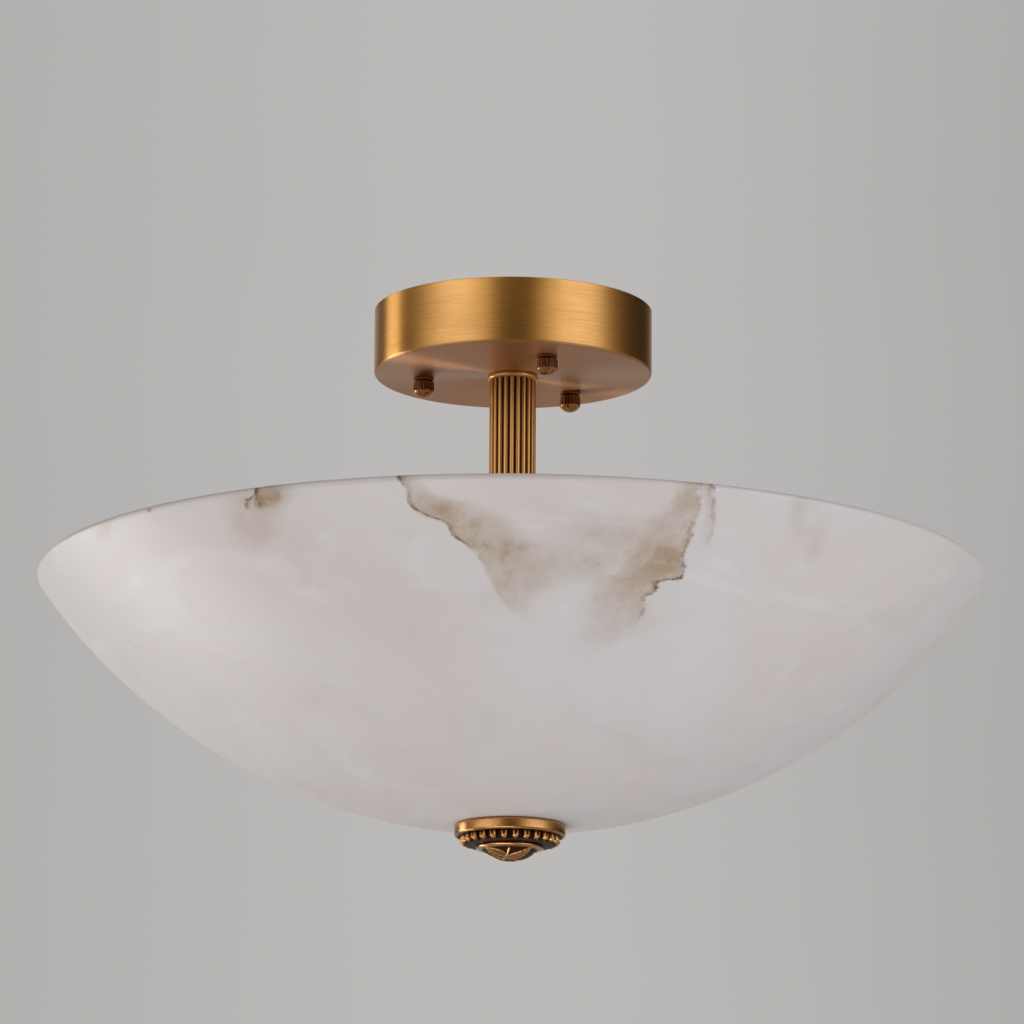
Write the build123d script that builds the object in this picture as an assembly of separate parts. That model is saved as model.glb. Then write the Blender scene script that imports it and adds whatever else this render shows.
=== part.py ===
from build123d import *
from math import cos, radians, sin, sqrt
import os

# Semi-flush ceiling light: an alabaster bowl held under a brass canopy by one
# hollow threaded tube. Millimetres. The ceiling is the plane z = 0, the light
# hangs down from it, and the tube lies on the Z axis.

# ---------------------------------------------------------------- clearances
THREAD_GAP = 0.05        # radial, between a smooth shank and the hole it screws into
HOLE_GAP = 0.15          # radial, between a rod and a hole it passes through
SPIGOT_GAP = 0.05        # radial, between a locating spigot and its bore
STUD_HOLE_GAP = 0.5      # radial, canopy holes over the studs
STONE_GAP = 1.0          # radial, bowl hole and gaskets over the centre tube

# ------------------------------------------------------------- ceiling plate
PLATE_DIAMETER = 116.0
PLATE_THICKNESS = 2.0
PLATE_CABLE_HOLE = 28.0
PLATE_SLOT_SPACING = 70.0
PLATE_SLOT_LENGTH = 20.0
PLATE_SLOT_WIDTH = 5.0
STUD_CIRCLE_RADIUS = 48.0
STUD_ANGLES = (172.0, 50.0, 292.0)
STUD_DIAMETER = 4.0
EARTH_SCREW_OFFSET = 30.0
EARTH_SCREW_DIAMETER = 4.0
EARTH_HEAD_DIAMETER = 8.0
EARTH_HEAD_HEIGHT = 2.5
TERMINAL_SIZE = (28.0, 14.0, 12.0)
TERMINAL_OFFSET = 28.0
TERMINAL_WAYS = 3
TERMINAL_BORE = 3.5

# -------------------------------------------------------------------- canopy
CANOPY_DIAMETER = 148.0
CANOPY_HEIGHT = 35.0
CANOPY_WALL = 1.2
CANOPY_EDGE_RADIUS = 1.6

# --------------------------------------------------------------- canopy nuts
CAP_NUT_DIAMETER = 11.0
CAP_NUT_BAND = 1.4
CAP_NUT_GROOVE = 0.9
CAP_NUT_GROOVE_DEPTH = 0.9
CAP_NUT_BODY = 5.2
CAP_NUT_DOME = 3.3
CAP_NUT_THREAD = 8.5
STUD_TIP_GAP = 0.5

# ------------------------------------------------------------ ring and stem
RING_DIAMETER = 27.0
RING_HEIGHT = 3.2
STEM_DIAMETER = 25.0
STEM_LENGTH = 123.5
STEM_BORE = 19.0
REED_COUNT = 22
REED_RADIUS = 1.3
REED_ROOT = 1.15         # depth from the crest to the core between two reeds
REED_START = 268.0       # degrees, so that one reed faces the viewer
SPIGOT_LENGTH = 3.0
SPIGOT_WALL = 1.5

# ------------------------------------------- centre tube, nuts and washers
TUBE_DIAMETER = 10.0
TUBE_BORE = 7.0
TUBE_ABOVE_NUT = 5.0
WIRE_WINDOW_WIDTH = 4.0
WIRE_WINDOW_HEIGHT = 9.0
NUT_ACROSS_FLATS = 14.0
NUT_HEIGHT = 6.0
WASHER_DIAMETER = 24.0
WASHER_THICKNESS = 2.0

# ------------------------------------------------------------ lamp cluster
LAMP_ANGLES = (90.0, 210.0, 330.0)
LAMP_TILT = 3.0          # degrees above the horizontal
CLUSTER_DIAMETER = 52.0
CLUSTER_HEIGHT = 24.0
CLUSTER_WALL = 2.0
CLUSTER_TOP = 3.0
COVER_THICKNESS = 2.0
BOSS_DIAMETER = 17.0
BOSS_REACH = 31.0        # from the Z axis to the boss face, along the lamp axis
BOSS_DEPTH = 10.0
NIPPLE_DIAMETER = 10.0
NIPPLE_BORE = 7.0
NIPPLE_INSIDE = 11.0     # length behind the boss face
NIPPLE_OUTSIDE = 9.0     # length screwed into the lampholder
HOLDER_DIAMETER = 40.0
HOLDER_FLOOR = 14.0
HOLDER_SHOULDER = 6.0
HOLDER_BORE = 28.4
HOLDER_MOUTH_GAP = 1.0   # from the holder mouth to the lamp globe
SHELL_RECESS = 4.0       # from the screw shell to the holder mouth
SHELL_WALL = 0.85
CONTACT_DIAMETER = 14.0
CONTACT_BASE = 1.0
CONTACT_HEIGHT = 3.0
CONTACT_TIP_DIAMETER = 8.0

# -------------------------------------------------------------------- lamps
LAMP_CAP_GAP = 0.06      # radial, lamp cap inside the screw shell
LAMP_TIP_HEIGHT = 1.5
LAMP_CONE_HEIGHT = 4.0
LAMP_CAP_LENGTH = 24.0
GLOBE_DIAMETER = 37.0
GLOBE_LENGTH = 74.0
GLOBE_NECK = 26.0
GLOBE_NECK_LENGTH = 8.0
GLOBE_END_RADIUS = 4.0

# --------------------------------------------------------------------- bowl
RIM_BELOW_CANOPY = 111.0
BOWL_DIAMETER = 500.0
BOWL_DEPTH = 133.0
BOWL_WALL = 12.0
BOWL_RIM_WIDTH = 12.4
BOWL_LIP_RADIUS = 2.5
BOWL_INNER_CHAMFER = 1.5
OUTER_FLAT_DIAMETER = 60.0
INNER_FLAT_DIAMETER = 48.0
STOP_DISC_DIAMETER = 44.0
STOP_DISC_THICKNESS = 2.5
UPPER_GASKET_THICKNESS = 1.5
LOWER_GASKET_DIAMETER = 48.0
LOWER_GASKET_THICKNESS = 1.2

# ------------------------------------------------------------------- finial
FINIAL_DIAMETER = 58.4
FINIAL_DISC = 6.0
FINIAL_EDGE_RADIUS = 1.2
FINIAL_RECESS = 0.8      # depth of the seat that the lower gasket sits in
FINIAL_RECESS_GAP = 0.5
BEAD_COUNT = 26
BEAD_WIDTH = 4.0
BEAD_HEIGHT = 4.4
BEAD_SEAT_DIAMETER = 46.4
COVE_DEPTH = 0.6
INNER_RING_DIAMETER = 35.4
INNER_RING_HEIGHT = 1.8
DOME_DIAMETER = 31.0
DOME_HEIGHT = 5.8
FINIAL_THREAD = 13.6
TUBE_END_GAP = 1.0

# ------------------------------------------------- levels, from the top down
plate_under = -PLATE_THICKNESS
canopy_under = -CANOPY_HEIGHT
canopy_floor = canopy_under + CANOPY_WALL
top_washer_top = canopy_floor + WASHER_THICKNESS
top_nut_top = top_washer_top + NUT_HEIGHT
tube_top = top_nut_top + TUBE_ABOVE_NUT
ring_under = canopy_under - RING_HEIGHT
cluster_top = ring_under - STEM_LENGTH
cluster_under = cluster_top - CLUSTER_HEIGHT
cover_under = cluster_under - COVER_THICKNESS
low_washer_under = cover_under - WASHER_THICKNESS

# ------------------------------------------------------------- bowl surfaces
rim_level = canopy_under - RIM_BELOW_CANOPY
outer_radius = BOWL_DIAMETER / 2
lip_centre = outer_radius - BOWL_LIP_RADIUS
lip_height = BOWL_DEPTH - BOWL_LIP_RADIUS
lip_reach = lip_height**2 + lip_centre**2 - BOWL_LIP_RADIUS**2
outer_sphere = lip_reach / (2 * (lip_height - BOWL_LIP_RADIUS))
outer_centre = rim_level - BOWL_DEPTH + outer_sphere
inner_radius = outer_radius - BOWL_RIM_WIDTH
inner_depth = BOWL_DEPTH - BOWL_WALL
inner_sphere = (inner_radius**2 + inner_depth**2) / (2 * inner_depth)
inner_centre = rim_level - inner_depth + inner_sphere


def sphere_level(centre, sphere, radius):
    """Height of the lower half of a sphere at a distance from the axis."""
    return centre - sqrt(sphere**2 - radius**2)


outer_flat = sphere_level(outer_centre, outer_sphere, OUTER_FLAT_DIAMETER / 2)
inner_flat = sphere_level(inner_centre, inner_sphere, INNER_FLAT_DIAMETER / 2)
stop_disc_under = inner_flat + UPPER_GASKET_THICKNESS
stop_nut_under = stop_disc_under + STOP_DISC_THICKNESS
finial_seat = outer_flat - LOWER_GASKET_THICKNESS
finial_top = finial_seat + FINIAL_RECESS
tube_end = finial_top - FINIAL_THREAD + TUBE_END_GAP

# ------------------------------------------------- lamp places along its axis
lamp_origin = (cluster_top + cluster_under) / 2 - CLUSTER_DIAMETER / 2 * sin(radians(LAMP_TILT))
holder_floor = BOSS_REACH + HOLDER_FLOOR
contact_top = holder_floor + CONTACT_HEIGHT
shell_outer = HOLDER_BORE / 2 - SPIGOT_GAP
shell_inner = shell_outer - SHELL_WALL
lamp_cap_radius = shell_inner - LAMP_CAP_GAP
lamp_shell_start = contact_top + LAMP_TIP_HEIGHT + LAMP_CONE_HEIGHT
globe_start = lamp_shell_start + LAMP_CAP_LENGTH
holder_mouth = globe_start - HOLDER_MOUTH_GAP


def turned(*corners):
    """A solid turned about Z from (radius, height) corners."""
    outline = Polyline(*[(radius, 0, height) for radius, height in corners], close=True)
    return revolve(make_face(outline), Axis.Z)


def tube(outer, bore, low, high):
    """A round tube or washer on Z, from its two diameters and two heights."""
    return turned((bore / 2, low), (outer / 2, low), (outer / 2, high), (bore / 2, high))


def rod(diameter, low, high):
    """A plain round bar on Z."""
    return turned((0, low), (diameter / 2, low), (diameter / 2, high), (0, high))


def swept_round(*edges):
    """A solid turned about Z from joined edges in the XZ plane."""
    return revolve(make_face(Wire(list(edges))), Axis.Z)


def segment(start, end):
    """A straight edge between two (radius, height) points."""
    return Edge.make_line((start[0], 0, start[1]), (end[0], 0, end[1]))


def bend(start, middle, end):
    """A circular edge through three (radius, height) points."""
    return Edge.make_three_point_arc(
        (start[0], 0, start[1]), (middle[0], 0, middle[1]), (end[0], 0, end[1])
    )


def at_stud(angle):
    """The place of one canopy stud."""
    turn = radians(angle)
    return Location((STUD_CIRCLE_RADIUS * cos(turn), STUD_CIRCLE_RADIUS * sin(turn), 0))


def on_lamp_axis(angle):
    """The place whose Z runs out along one lamp axis from the centre line."""
    turn = radians(angle)
    tilt = radians(LAMP_TILT)
    outward = (cos(turn) * cos(tilt), sin(turn) * cos(tilt), sin(tilt))
    sideways = (-sin(turn), cos(turn), 0)
    return Plane(origin=(0, 0, lamp_origin), x_dir=sideways, z_dir=outward).location


# ------------------------------------------------------------ ceiling plate
def make_ceiling_plate():
    """Steel disc with two ceiling slots, a cable hole and tapped holes."""
    plate = tube(PLATE_DIAMETER, PLATE_CABLE_HOLE, plate_under, 0)
    slot = extrude(SlotOverall(PLATE_SLOT_LENGTH, PLATE_SLOT_WIDTH), PLATE_THICKNESS)
    for side in (-1, 1):
        plate -= Pos(side * PLATE_SLOT_SPACING / 2, 0, plate_under) * slot
    stud_hole = rod(STUD_DIAMETER + 2 * THREAD_GAP, plate_under, 0)
    for angle in STUD_ANGLES:
        plate -= at_stud(angle) * stud_hole
    earth_hole = rod(EARTH_SCREW_DIAMETER + 2 * THREAD_GAP, plate_under, 0)
    return plate - Pos(0, -EARTH_SCREW_OFFSET, 0) * earth_hole


def make_plate_studs():
    """Three studs with a thin head flush on the underside of the plate."""
    tip = canopy_under - CAP_NUT_THREAD + STUD_TIP_GAP
    shank = rod(STUD_DIAMETER, tip, 0)
    collar = tube(2 * STUD_DIAMETER, STUD_DIAMETER, plate_under - 1.0, plate_under)
    return Compound([at_stud(angle) * (shank + collar) for angle in STUD_ANGLES])


def make_earth_screw():
    """Pan head screw for the earth wire."""
    shank = rod(EARTH_SCREW_DIAMETER, plate_under, 0)
    head = rod(EARTH_HEAD_DIAMETER, plate_under - EARTH_HEAD_HEIGHT, plate_under)
    return Pos(0, -EARTH_SCREW_OFFSET, 0) * (shank + head)


def make_terminal_block():
    """Three-way block on the underside of the plate."""
    length, width, height = TERMINAL_SIZE
    block = Pos(0, TERMINAL_OFFSET, plate_under - height / 2) * Box(length, width, height)
    pitch = length / TERMINAL_WAYS
    for way in range(TERMINAL_WAYS):
        offset = (way - (TERMINAL_WAYS - 1) / 2) * pitch
        bore = Rot(90, 0, 0) * Cylinder(TERMINAL_BORE / 2, 2 * width)
        block -= Pos(offset, TERMINAL_OFFSET, plate_under - height / 2) * bore
    return block


# ------------------------------------------------------------------- canopy
def make_canopy():
    """Spun brass cup, open at the ceiling, with holes for the tube and studs."""
    outer = CANOPY_DIAMETER / 2
    inner = outer - CANOPY_WALL
    hole = TUBE_DIAMETER / 2 + HOLE_GAP
    turn = CANOPY_EDGE_RADIUS
    slack = turn * (1 - sqrt(0.5))
    low_side = (outer, canopy_under + turn)
    low_face = (outer - turn, canopy_under)
    canopy = swept_round(
        segment((hole, canopy_under), low_face),
        bend(low_face, (outer - slack, canopy_under + slack), low_side),
        segment(low_side, (outer, 0)),
        segment((outer, 0), (inner, 0)),
        segment((inner, 0), (inner, canopy_floor)),
        segment((inner, canopy_floor), (hole, canopy_floor)),
        segment((hole, canopy_floor), (hole, canopy_under)),
    )
    stud_hole = rod(STUD_DIAMETER + 2 * STUD_HOLE_GAP, canopy_under, canopy_floor)
    for angle in STUD_ANGLES:
        canopy -= at_stud(angle) * stud_hole
    return canopy


def make_cap_nut():
    """One dome nut: a band, a groove, a gripping body and a dome."""
    radius = CAP_NUT_DIAMETER / 2
    neck = radius - CAP_NUT_GROOVE_DEPTH
    thread = STUD_DIAMETER / 2 + THREAD_GAP
    band_low = canopy_under - CAP_NUT_BAND
    body_high = band_low - CAP_NUT_GROOVE
    body_low = body_high - CAP_NUT_BODY
    tip = body_low - CAP_NUT_DOME
    dome_sphere = (radius**2 + CAP_NUT_DOME**2) / (2 * CAP_NUT_DOME)
    dome_middle = radius * 0.7
    dome_centre = tip + dome_sphere
    bore_end = canopy_under - CAP_NUT_THREAD
    return swept_round(
        segment((thread, canopy_under), (radius, canopy_under)),
        segment((radius, canopy_under), (radius, band_low)),
        segment((radius, band_low), (neck, band_low)),
        segment((neck, band_low), (neck, body_high)),
        segment((neck, body_high), (radius, body_high)),
        segment((radius, body_high), (radius, body_low)),
        bend(
            (radius, body_low),
            (dome_middle, sphere_level(dome_centre, dome_sphere, dome_middle)),
            (0, tip),
        ),
        segment((0, tip), (0, bore_end)),
        segment((0, bore_end), (thread, bore_end)),
        segment((thread, bore_end), (thread, canopy_under)),
    )


def make_canopy_nuts():
    """Three dome nuts, one on each stud."""
    nut = make_cap_nut()
    return Compound([at_stud(angle) * nut for angle in STUD_ANGLES])


# ---------------------------------------------------------- ring and stem
def make_stem_ring():
    """Rounded ring under the canopy with a spigot inside the stem."""
    outer = RING_DIAMETER / 2
    flat = outer - RING_HEIGHT / 2
    hole = TUBE_DIAMETER / 2 + HOLE_GAP
    spigot = STEM_BORE / 2 - SPIGOT_GAP
    spigot_low = ring_under - SPIGOT_LENGTH
    middle = (canopy_under + ring_under) / 2
    ring = swept_round(
        segment((hole, canopy_under), (flat, canopy_under)),
        bend((flat, canopy_under), (outer, middle), (flat, ring_under)),
        segment((flat, ring_under), (hole, ring_under)),
        segment((hole, ring_under), (hole, canopy_under)),
    )
    return ring + tube(2 * spigot, 2 * (spigot - SPIGOT_WALL), spigot_low, ring_under)


def make_stem():
    """Reeded tube: convex reeds round a core, bored through."""
    core = Circle(STEM_DIAMETER / 2 - REED_ROOT)
    reed_circle = STEM_DIAMETER / 2 - REED_RADIUS
    reeds = PolarLocations(reed_circle, REED_COUNT, REED_START) * Circle(REED_RADIUS)
    section = core + reeds - Circle(STEM_BORE / 2)
    return Pos(0, 0, cluster_top) * extrude(section, STEM_LENGTH)


# ------------------------------------------- centre tube, nuts and washers
def make_centre_tube():
    """Hollow rod with a window for the wires inside the cluster."""
    body = tube(TUBE_DIAMETER, TUBE_BORE, tube_end, tube_top)
    window_centre = (cluster_top + cluster_under) / 2
    window = Box(WIRE_WINDOW_WIDTH, TUBE_DIAMETER, WIRE_WINDOW_HEIGHT)
    return body - Pos(0, -TUBE_DIAMETER / 2, window_centre) * window


def make_rod_nuts():
    """Hexagon nuts: over the canopy, under the cluster and over the bowl."""
    flats = RegularPolygon(NUT_ACROSS_FLATS / 2, 6, major_radius=False)
    section = flats - Circle(TUBE_DIAMETER / 2 + THREAD_GAP)
    nut = extrude(section, NUT_HEIGHT)
    levels = (top_washer_top, low_washer_under - NUT_HEIGHT, stop_nut_under)
    return Compound([Pos(0, 0, level) * nut for level in levels])


def make_rod_washers():
    """Washers over the canopy floor and under the cluster cover."""
    bore = TUBE_DIAMETER + 2 * HOLE_GAP
    washer = tube(WASHER_DIAMETER, bore, 0, WASHER_THICKNESS)
    return Compound([Pos(0, 0, level) * washer for level in (canopy_floor, low_washer_under)])


# ------------------------------------------------------------- lamp cluster
def make_cluster_body():
    """Cup open below with a spigot for the stem and three tilted bosses."""
    outer = CLUSTER_DIAMETER / 2
    inner = outer - CLUSTER_WALL
    hole = TUBE_DIAMETER / 2 + HOLE_GAP
    ceiling = cluster_top - CLUSTER_TOP
    cup = turned(
        (hole, cluster_top), (outer, cluster_top), (outer, cluster_under),
        (inner, cluster_under), (inner, ceiling), (hole, ceiling),
    )
    spigot = STEM_BORE - 2 * SPIGOT_GAP
    cup += tube(spigot, spigot - 2 * SPIGOT_WALL, cluster_top, cluster_top + SPIGOT_LENGTH)
    boss = rod(BOSS_DIAMETER, BOSS_REACH - BOSS_DEPTH, BOSS_REACH)
    bore = rod(NIPPLE_DIAMETER + 2 * THREAD_GAP, BOSS_REACH - 2 * BOSS_DEPTH, BOSS_REACH)
    for angle in LAMP_ANGLES:
        cup += on_lamp_axis(angle) * boss
    for angle in LAMP_ANGLES:
        cup -= on_lamp_axis(angle) * bore
    return cup


def make_cluster_cover():
    """Disc that closes the cup from below."""
    bore = TUBE_DIAMETER + 2 * HOLE_GAP
    return tube(CLUSTER_DIAMETER, bore, cover_under, cluster_under)


def make_holder_nipples():
    """Three hollow threaded nipples between the cluster and the lampholders."""
    nipple = tube(NIPPLE_DIAMETER, NIPPLE_BORE, BOSS_REACH - NIPPLE_INSIDE, BOSS_REACH + NIPPLE_OUTSIDE)
    return Compound([on_lamp_axis(angle) * nipple for angle in LAMP_ANGLES])


def make_lampholder(angle):
    """Porcelain lampholder: a solid base, a shoulder and an open cup."""
    outer = HOLDER_DIAMETER / 2
    bore = HOLDER_BORE / 2
    thread = NIPPLE_DIAMETER / 2 + THREAD_GAP
    holder = turned(
        (thread, BOSS_REACH), (outer - HOLDER_SHOULDER, BOSS_REACH),
        (outer, BOSS_REACH + HOLDER_SHOULDER), (outer, holder_mouth), (bore, holder_mouth),
        (bore, holder_floor), (thread, holder_floor),
    )
    return on_lamp_axis(angle) * holder


def make_screw_shell(angle):
    """Metal liner of the lampholder that takes the lamp cap."""
    shell = tube(2 * shell_outer, 2 * shell_inner, holder_floor, holder_mouth - SHELL_RECESS)
    return on_lamp_axis(angle) * shell


def make_centre_contact(angle):
    """Contact on the lampholder floor, over the wire hole."""
    step = holder_floor + CONTACT_BASE
    contact = turned(
        (0, holder_floor), (CONTACT_DIAMETER / 2, holder_floor), (CONTACT_DIAMETER / 2, step),
        (CONTACT_TIP_DIAMETER / 2, step), (CONTACT_TIP_DIAMETER / 2, contact_top), (0, contact_top),
    )
    return on_lamp_axis(angle) * contact


# -------------------------------------------------------------------- lamps
def make_lamp_cap(angle):
    """Lamp cap: centre tip, insulating cone and cylindrical shell."""
    tip = CONTACT_TIP_DIAMETER / 2
    tip_end = contact_top + LAMP_TIP_HEIGHT
    cap = turned(
        (0, contact_top), (tip, contact_top), (tip, tip_end),
        (lamp_cap_radius, lamp_shell_start), (lamp_cap_radius, globe_start), (0, globe_start),
    )
    return on_lamp_axis(angle) * cap


def make_lamp_globe(angle):
    """Opal tubular lamp with a short neck and a rounded end."""
    outer = GLOBE_DIAMETER / 2
    turn = GLOBE_END_RADIUS
    slack = turn * (1 - sqrt(0.5))
    end = globe_start + GLOBE_LENGTH
    neck_end = globe_start + GLOBE_NECK_LENGTH
    globe = swept_round(
        segment((0, globe_start), (GLOBE_NECK / 2, globe_start)),
        segment((GLOBE_NECK / 2, globe_start), (outer, neck_end)),
        segment((outer, neck_end), (outer, end - turn)),
        bend((outer, end - turn), (outer - slack, end - slack), (outer - turn, end)),
        segment((outer - turn, end), (0, end)),
        segment((0, end), (0, globe_start)),
    )
    return on_lamp_axis(angle) * globe


# --------------------------------------------------------------------- bowl
def make_bowl():
    """Turned stone bowl with a rounded lip, two seating flats and a hole."""
    hole = TUBE_DIAMETER / 2 + STONE_GAP
    outer_seat = OUTER_FLAT_DIAMETER / 2
    inner_seat = INNER_FLAT_DIAMETER / 2
    lip_level = rim_level - BOWL_LIP_RADIUS
    stretch = outer_sphere / (outer_sphere - BOWL_LIP_RADIUS)
    tangent = (lip_centre * stretch, outer_centre - (outer_centre - lip_level) * stretch)
    lip_top = (lip_centre, rim_level)
    lip_outer = (outer_radius, lip_level)
    outer_middle = (outer_seat + tangent[0]) / 2
    inner_middle = (inner_seat + inner_radius) / 2
    chamfer_low = inner_radius - BOWL_INNER_CHAMFER
    chamfer_level = sphere_level(inner_centre, inner_sphere, chamfer_low)
    chamfer_top = (inner_radius + BOWL_INNER_CHAMFER, rim_level)
    return swept_round(
        segment((hole, outer_flat), (outer_seat, outer_flat)),
        bend(
            (outer_seat, outer_flat),
            (outer_middle, sphere_level(outer_centre, outer_sphere, outer_middle)),
            tangent,
        ),
        bend(tangent, lip_outer, lip_top),
        segment(lip_top, chamfer_top),
        segment(chamfer_top, (chamfer_low, chamfer_level)),
        bend(
            (chamfer_low, chamfer_level),
            (inner_middle, sphere_level(inner_centre, inner_sphere, inner_middle)),
            (inner_seat, inner_flat),
        ),
        segment((inner_seat, inner_flat), (hole, inner_flat)),
        segment((hole, inner_flat), (hole, outer_flat)),
    )


def make_stop_disc():
    """Steel disc that holds the bowl down against the finial."""
    bore = TUBE_DIAMETER + 2 * HOLE_GAP
    return tube(STOP_DISC_DIAMETER, bore, stop_disc_under, stop_nut_under)


def make_upper_gasket():
    """Rubber ring between the stop disc and the stone."""
    bore = TUBE_DIAMETER + 2 * STONE_GAP
    return tube(STOP_DISC_DIAMETER, bore, inner_flat, stop_disc_under)


def make_lower_gasket():
    """Rubber ring between the stone and the finial."""
    bore = TUBE_DIAMETER + 2 * STONE_GAP
    return tube(LOWER_GASKET_DIAMETER, bore, finial_seat, outer_flat)


# ------------------------------------------------------------------- finial
def make_finial():
    """Cast finial: a disc, a border of gadroons, a ring and a dome."""
    edge = FINIAL_DIAMETER / 2
    turn = FINIAL_EDGE_RADIUS
    slack = turn * (1 - sqrt(0.5))
    disc_low = finial_top - FINIAL_DISC
    recess = LOWER_GASKET_DIAMETER / 2 + FINIAL_RECESS_GAP
    seat = BEAD_SEAT_DIAMETER / 2
    bead_low = disc_low - BEAD_HEIGHT
    ring = INNER_RING_DIAMETER / 2
    ring_high = bead_low - COVE_DEPTH
    ring_low = ring_high - INNER_RING_HEIGHT
    dome = DOME_DIAMETER / 2
    tip = ring_low - DOME_HEIGHT
    dome_sphere = (dome**2 + DOME_HEIGHT**2) / (2 * DOME_HEIGHT)
    dome_middle = dome * 0.6
    thread = TUBE_DIAMETER / 2 + THREAD_GAP
    thread_end = finial_top - FINIAL_THREAD
    ring_flat = ring - INNER_RING_HEIGHT / 2
    ring_middle = (ring_high + ring_low) / 2
    body = swept_round(
        segment((thread, finial_seat), (recess, finial_seat)),
        segment((recess, finial_seat), (recess, finial_top)),
        segment((recess, finial_top), (edge, finial_top)),
        segment((edge, finial_top), (edge, disc_low + turn)),
        bend((edge, disc_low + turn), (edge - slack, disc_low + slack), (edge - turn, disc_low)),
        segment((edge - turn, disc_low), (seat, disc_low)),
        segment((seat, disc_low), (seat, bead_low)),
        segment((seat, bead_low), (ring_flat, ring_high)),
        bend((ring_flat, ring_high), (ring, ring_middle), (ring_flat, ring_low)),
        segment((ring_flat, ring_low), (dome, ring_low)),
        bend(
            (dome, ring_low),
            (dome_middle, sphere_level(tip + dome_sphere, dome_sphere, dome_middle)),
            (0, tip),
        ),
        segment((0, tip), (0, thread_end)),
        segment((0, thread_end), (thread, thread_end)),
        segment((thread, thread_end), (thread, finial_seat)),
    )
    width = BEAD_WIDTH / 2
    bead = turned(
        (0, bead_low), (width / 2, bead_low), (width, bead_low + width), (width, disc_low), (0, disc_low)
    )
    return body + PolarLocations(seat + width * 0.75, BEAD_COUNT) * bead


def build_nodes():
    """Every separate piece under the name of its node."""
    nodes = {
        "ceiling_plate": make_ceiling_plate(),
        "plate_studs": make_plate_studs(),
        "earth_screw": make_earth_screw(),
        "terminal_block": make_terminal_block(),
        "canopy": make_canopy(),
        "canopy_nuts": make_canopy_nuts(),
        "stem_ring": make_stem_ring(),
        "stem": make_stem(),
        "centre_tube": make_centre_tube(),
        "rod_nuts": make_rod_nuts(),
        "rod_washers": make_rod_washers(),
        "cluster_body": make_cluster_body(),
        "cluster_cover": make_cluster_cover(),
        "holder_nipples": make_holder_nipples(),
        "stop_disc": make_stop_disc(),
        "upper_gasket": make_upper_gasket(),
        "bowl": make_bowl(),
        "lower_gasket": make_lower_gasket(),
        "finial": make_finial(),
    }
    for number, angle in enumerate(LAMP_ANGLES, start=1):
        nodes[f"lampholder_{number}"] = make_lampholder(angle)
        nodes[f"screw_shell_{number}"] = make_screw_shell(angle)
        nodes[f"centre_contact_{number}"] = make_centre_contact(angle)
        nodes[f"lamp_cap_{number}"] = make_lamp_cap(angle)
        nodes[f"lamp_globe_{number}"] = make_lamp_globe(angle)
    return nodes


os.makedirs("parts", exist_ok=True)
for name, shape in build_nodes().items():
    export_step(shape, f"parts/{name}.step")
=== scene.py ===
"""Looks of a semi-flush ceiling light: alabaster bowl, brass canopy, reeded stem and cast finial.

Every length is in metres in the frame's own axes: the ceiling is z = 0, the light hangs
down from it round the Z axis, and the photographed side faces -Y.
"""

from __future__ import annotations

import logging
import math
from collections.abc import Callable, Mapping, Sequence
from dataclasses import dataclass
from enum import Enum

import bmesh
import bpy
from mathutils import Matrix, Vector

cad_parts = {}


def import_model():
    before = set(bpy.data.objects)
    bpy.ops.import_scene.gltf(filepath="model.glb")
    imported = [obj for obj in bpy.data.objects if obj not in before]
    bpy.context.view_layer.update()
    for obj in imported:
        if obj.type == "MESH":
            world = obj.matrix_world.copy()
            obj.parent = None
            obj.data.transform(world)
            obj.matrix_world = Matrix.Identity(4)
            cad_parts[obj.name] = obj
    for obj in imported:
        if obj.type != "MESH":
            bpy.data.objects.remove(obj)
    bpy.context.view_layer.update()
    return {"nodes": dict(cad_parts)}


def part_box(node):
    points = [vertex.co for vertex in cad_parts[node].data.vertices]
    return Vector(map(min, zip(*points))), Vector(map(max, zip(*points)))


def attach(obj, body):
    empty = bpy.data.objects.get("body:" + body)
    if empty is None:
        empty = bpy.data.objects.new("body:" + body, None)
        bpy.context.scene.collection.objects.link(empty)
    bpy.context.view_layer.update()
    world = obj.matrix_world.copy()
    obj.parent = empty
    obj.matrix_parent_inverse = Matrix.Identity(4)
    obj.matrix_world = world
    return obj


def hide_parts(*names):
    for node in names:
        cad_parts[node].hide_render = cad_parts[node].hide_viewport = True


LOG = logging.getLogger("ceiling_light")
MM = 0.001
TAU = 2.0 * math.pi
QUARTER = math.pi / 2
# Two levels nearer than this count as one.
HAIR = 0.02 * MM
# A point nearer the axis than this lies on it.
ON_AXIS = 0.0001 * MM
# Angle above which an edge stays sharp, in degrees, where a piece has no other.
SHARP = 34.0
# Layer of a mesh that says how far each point is raised, and from that how much wear it shows; on the finial
# it also carries painted shade.
RAISED = "raised"

Point = tuple[float, float]
Colour = tuple[float, float, float]
Relief = Callable[[float, float, float], float]


def linear(red: int, green: int, blue: int) -> Colour:
    """Turns a colour as seen on screen, 0 to 255, into scene-linear light.

    Args:
        red: Red on screen.
        green: Green on screen.
        blue: Blue on screen.

    Returns:
        The three linear values.
    """
    seen = (channel / 255.0 for channel in (red, green, blue))
    return tuple(c / 12.92 if c <= 0.04045 else ((c + 0.055) / 1.055) ** 2.4 for c in seen)


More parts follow.
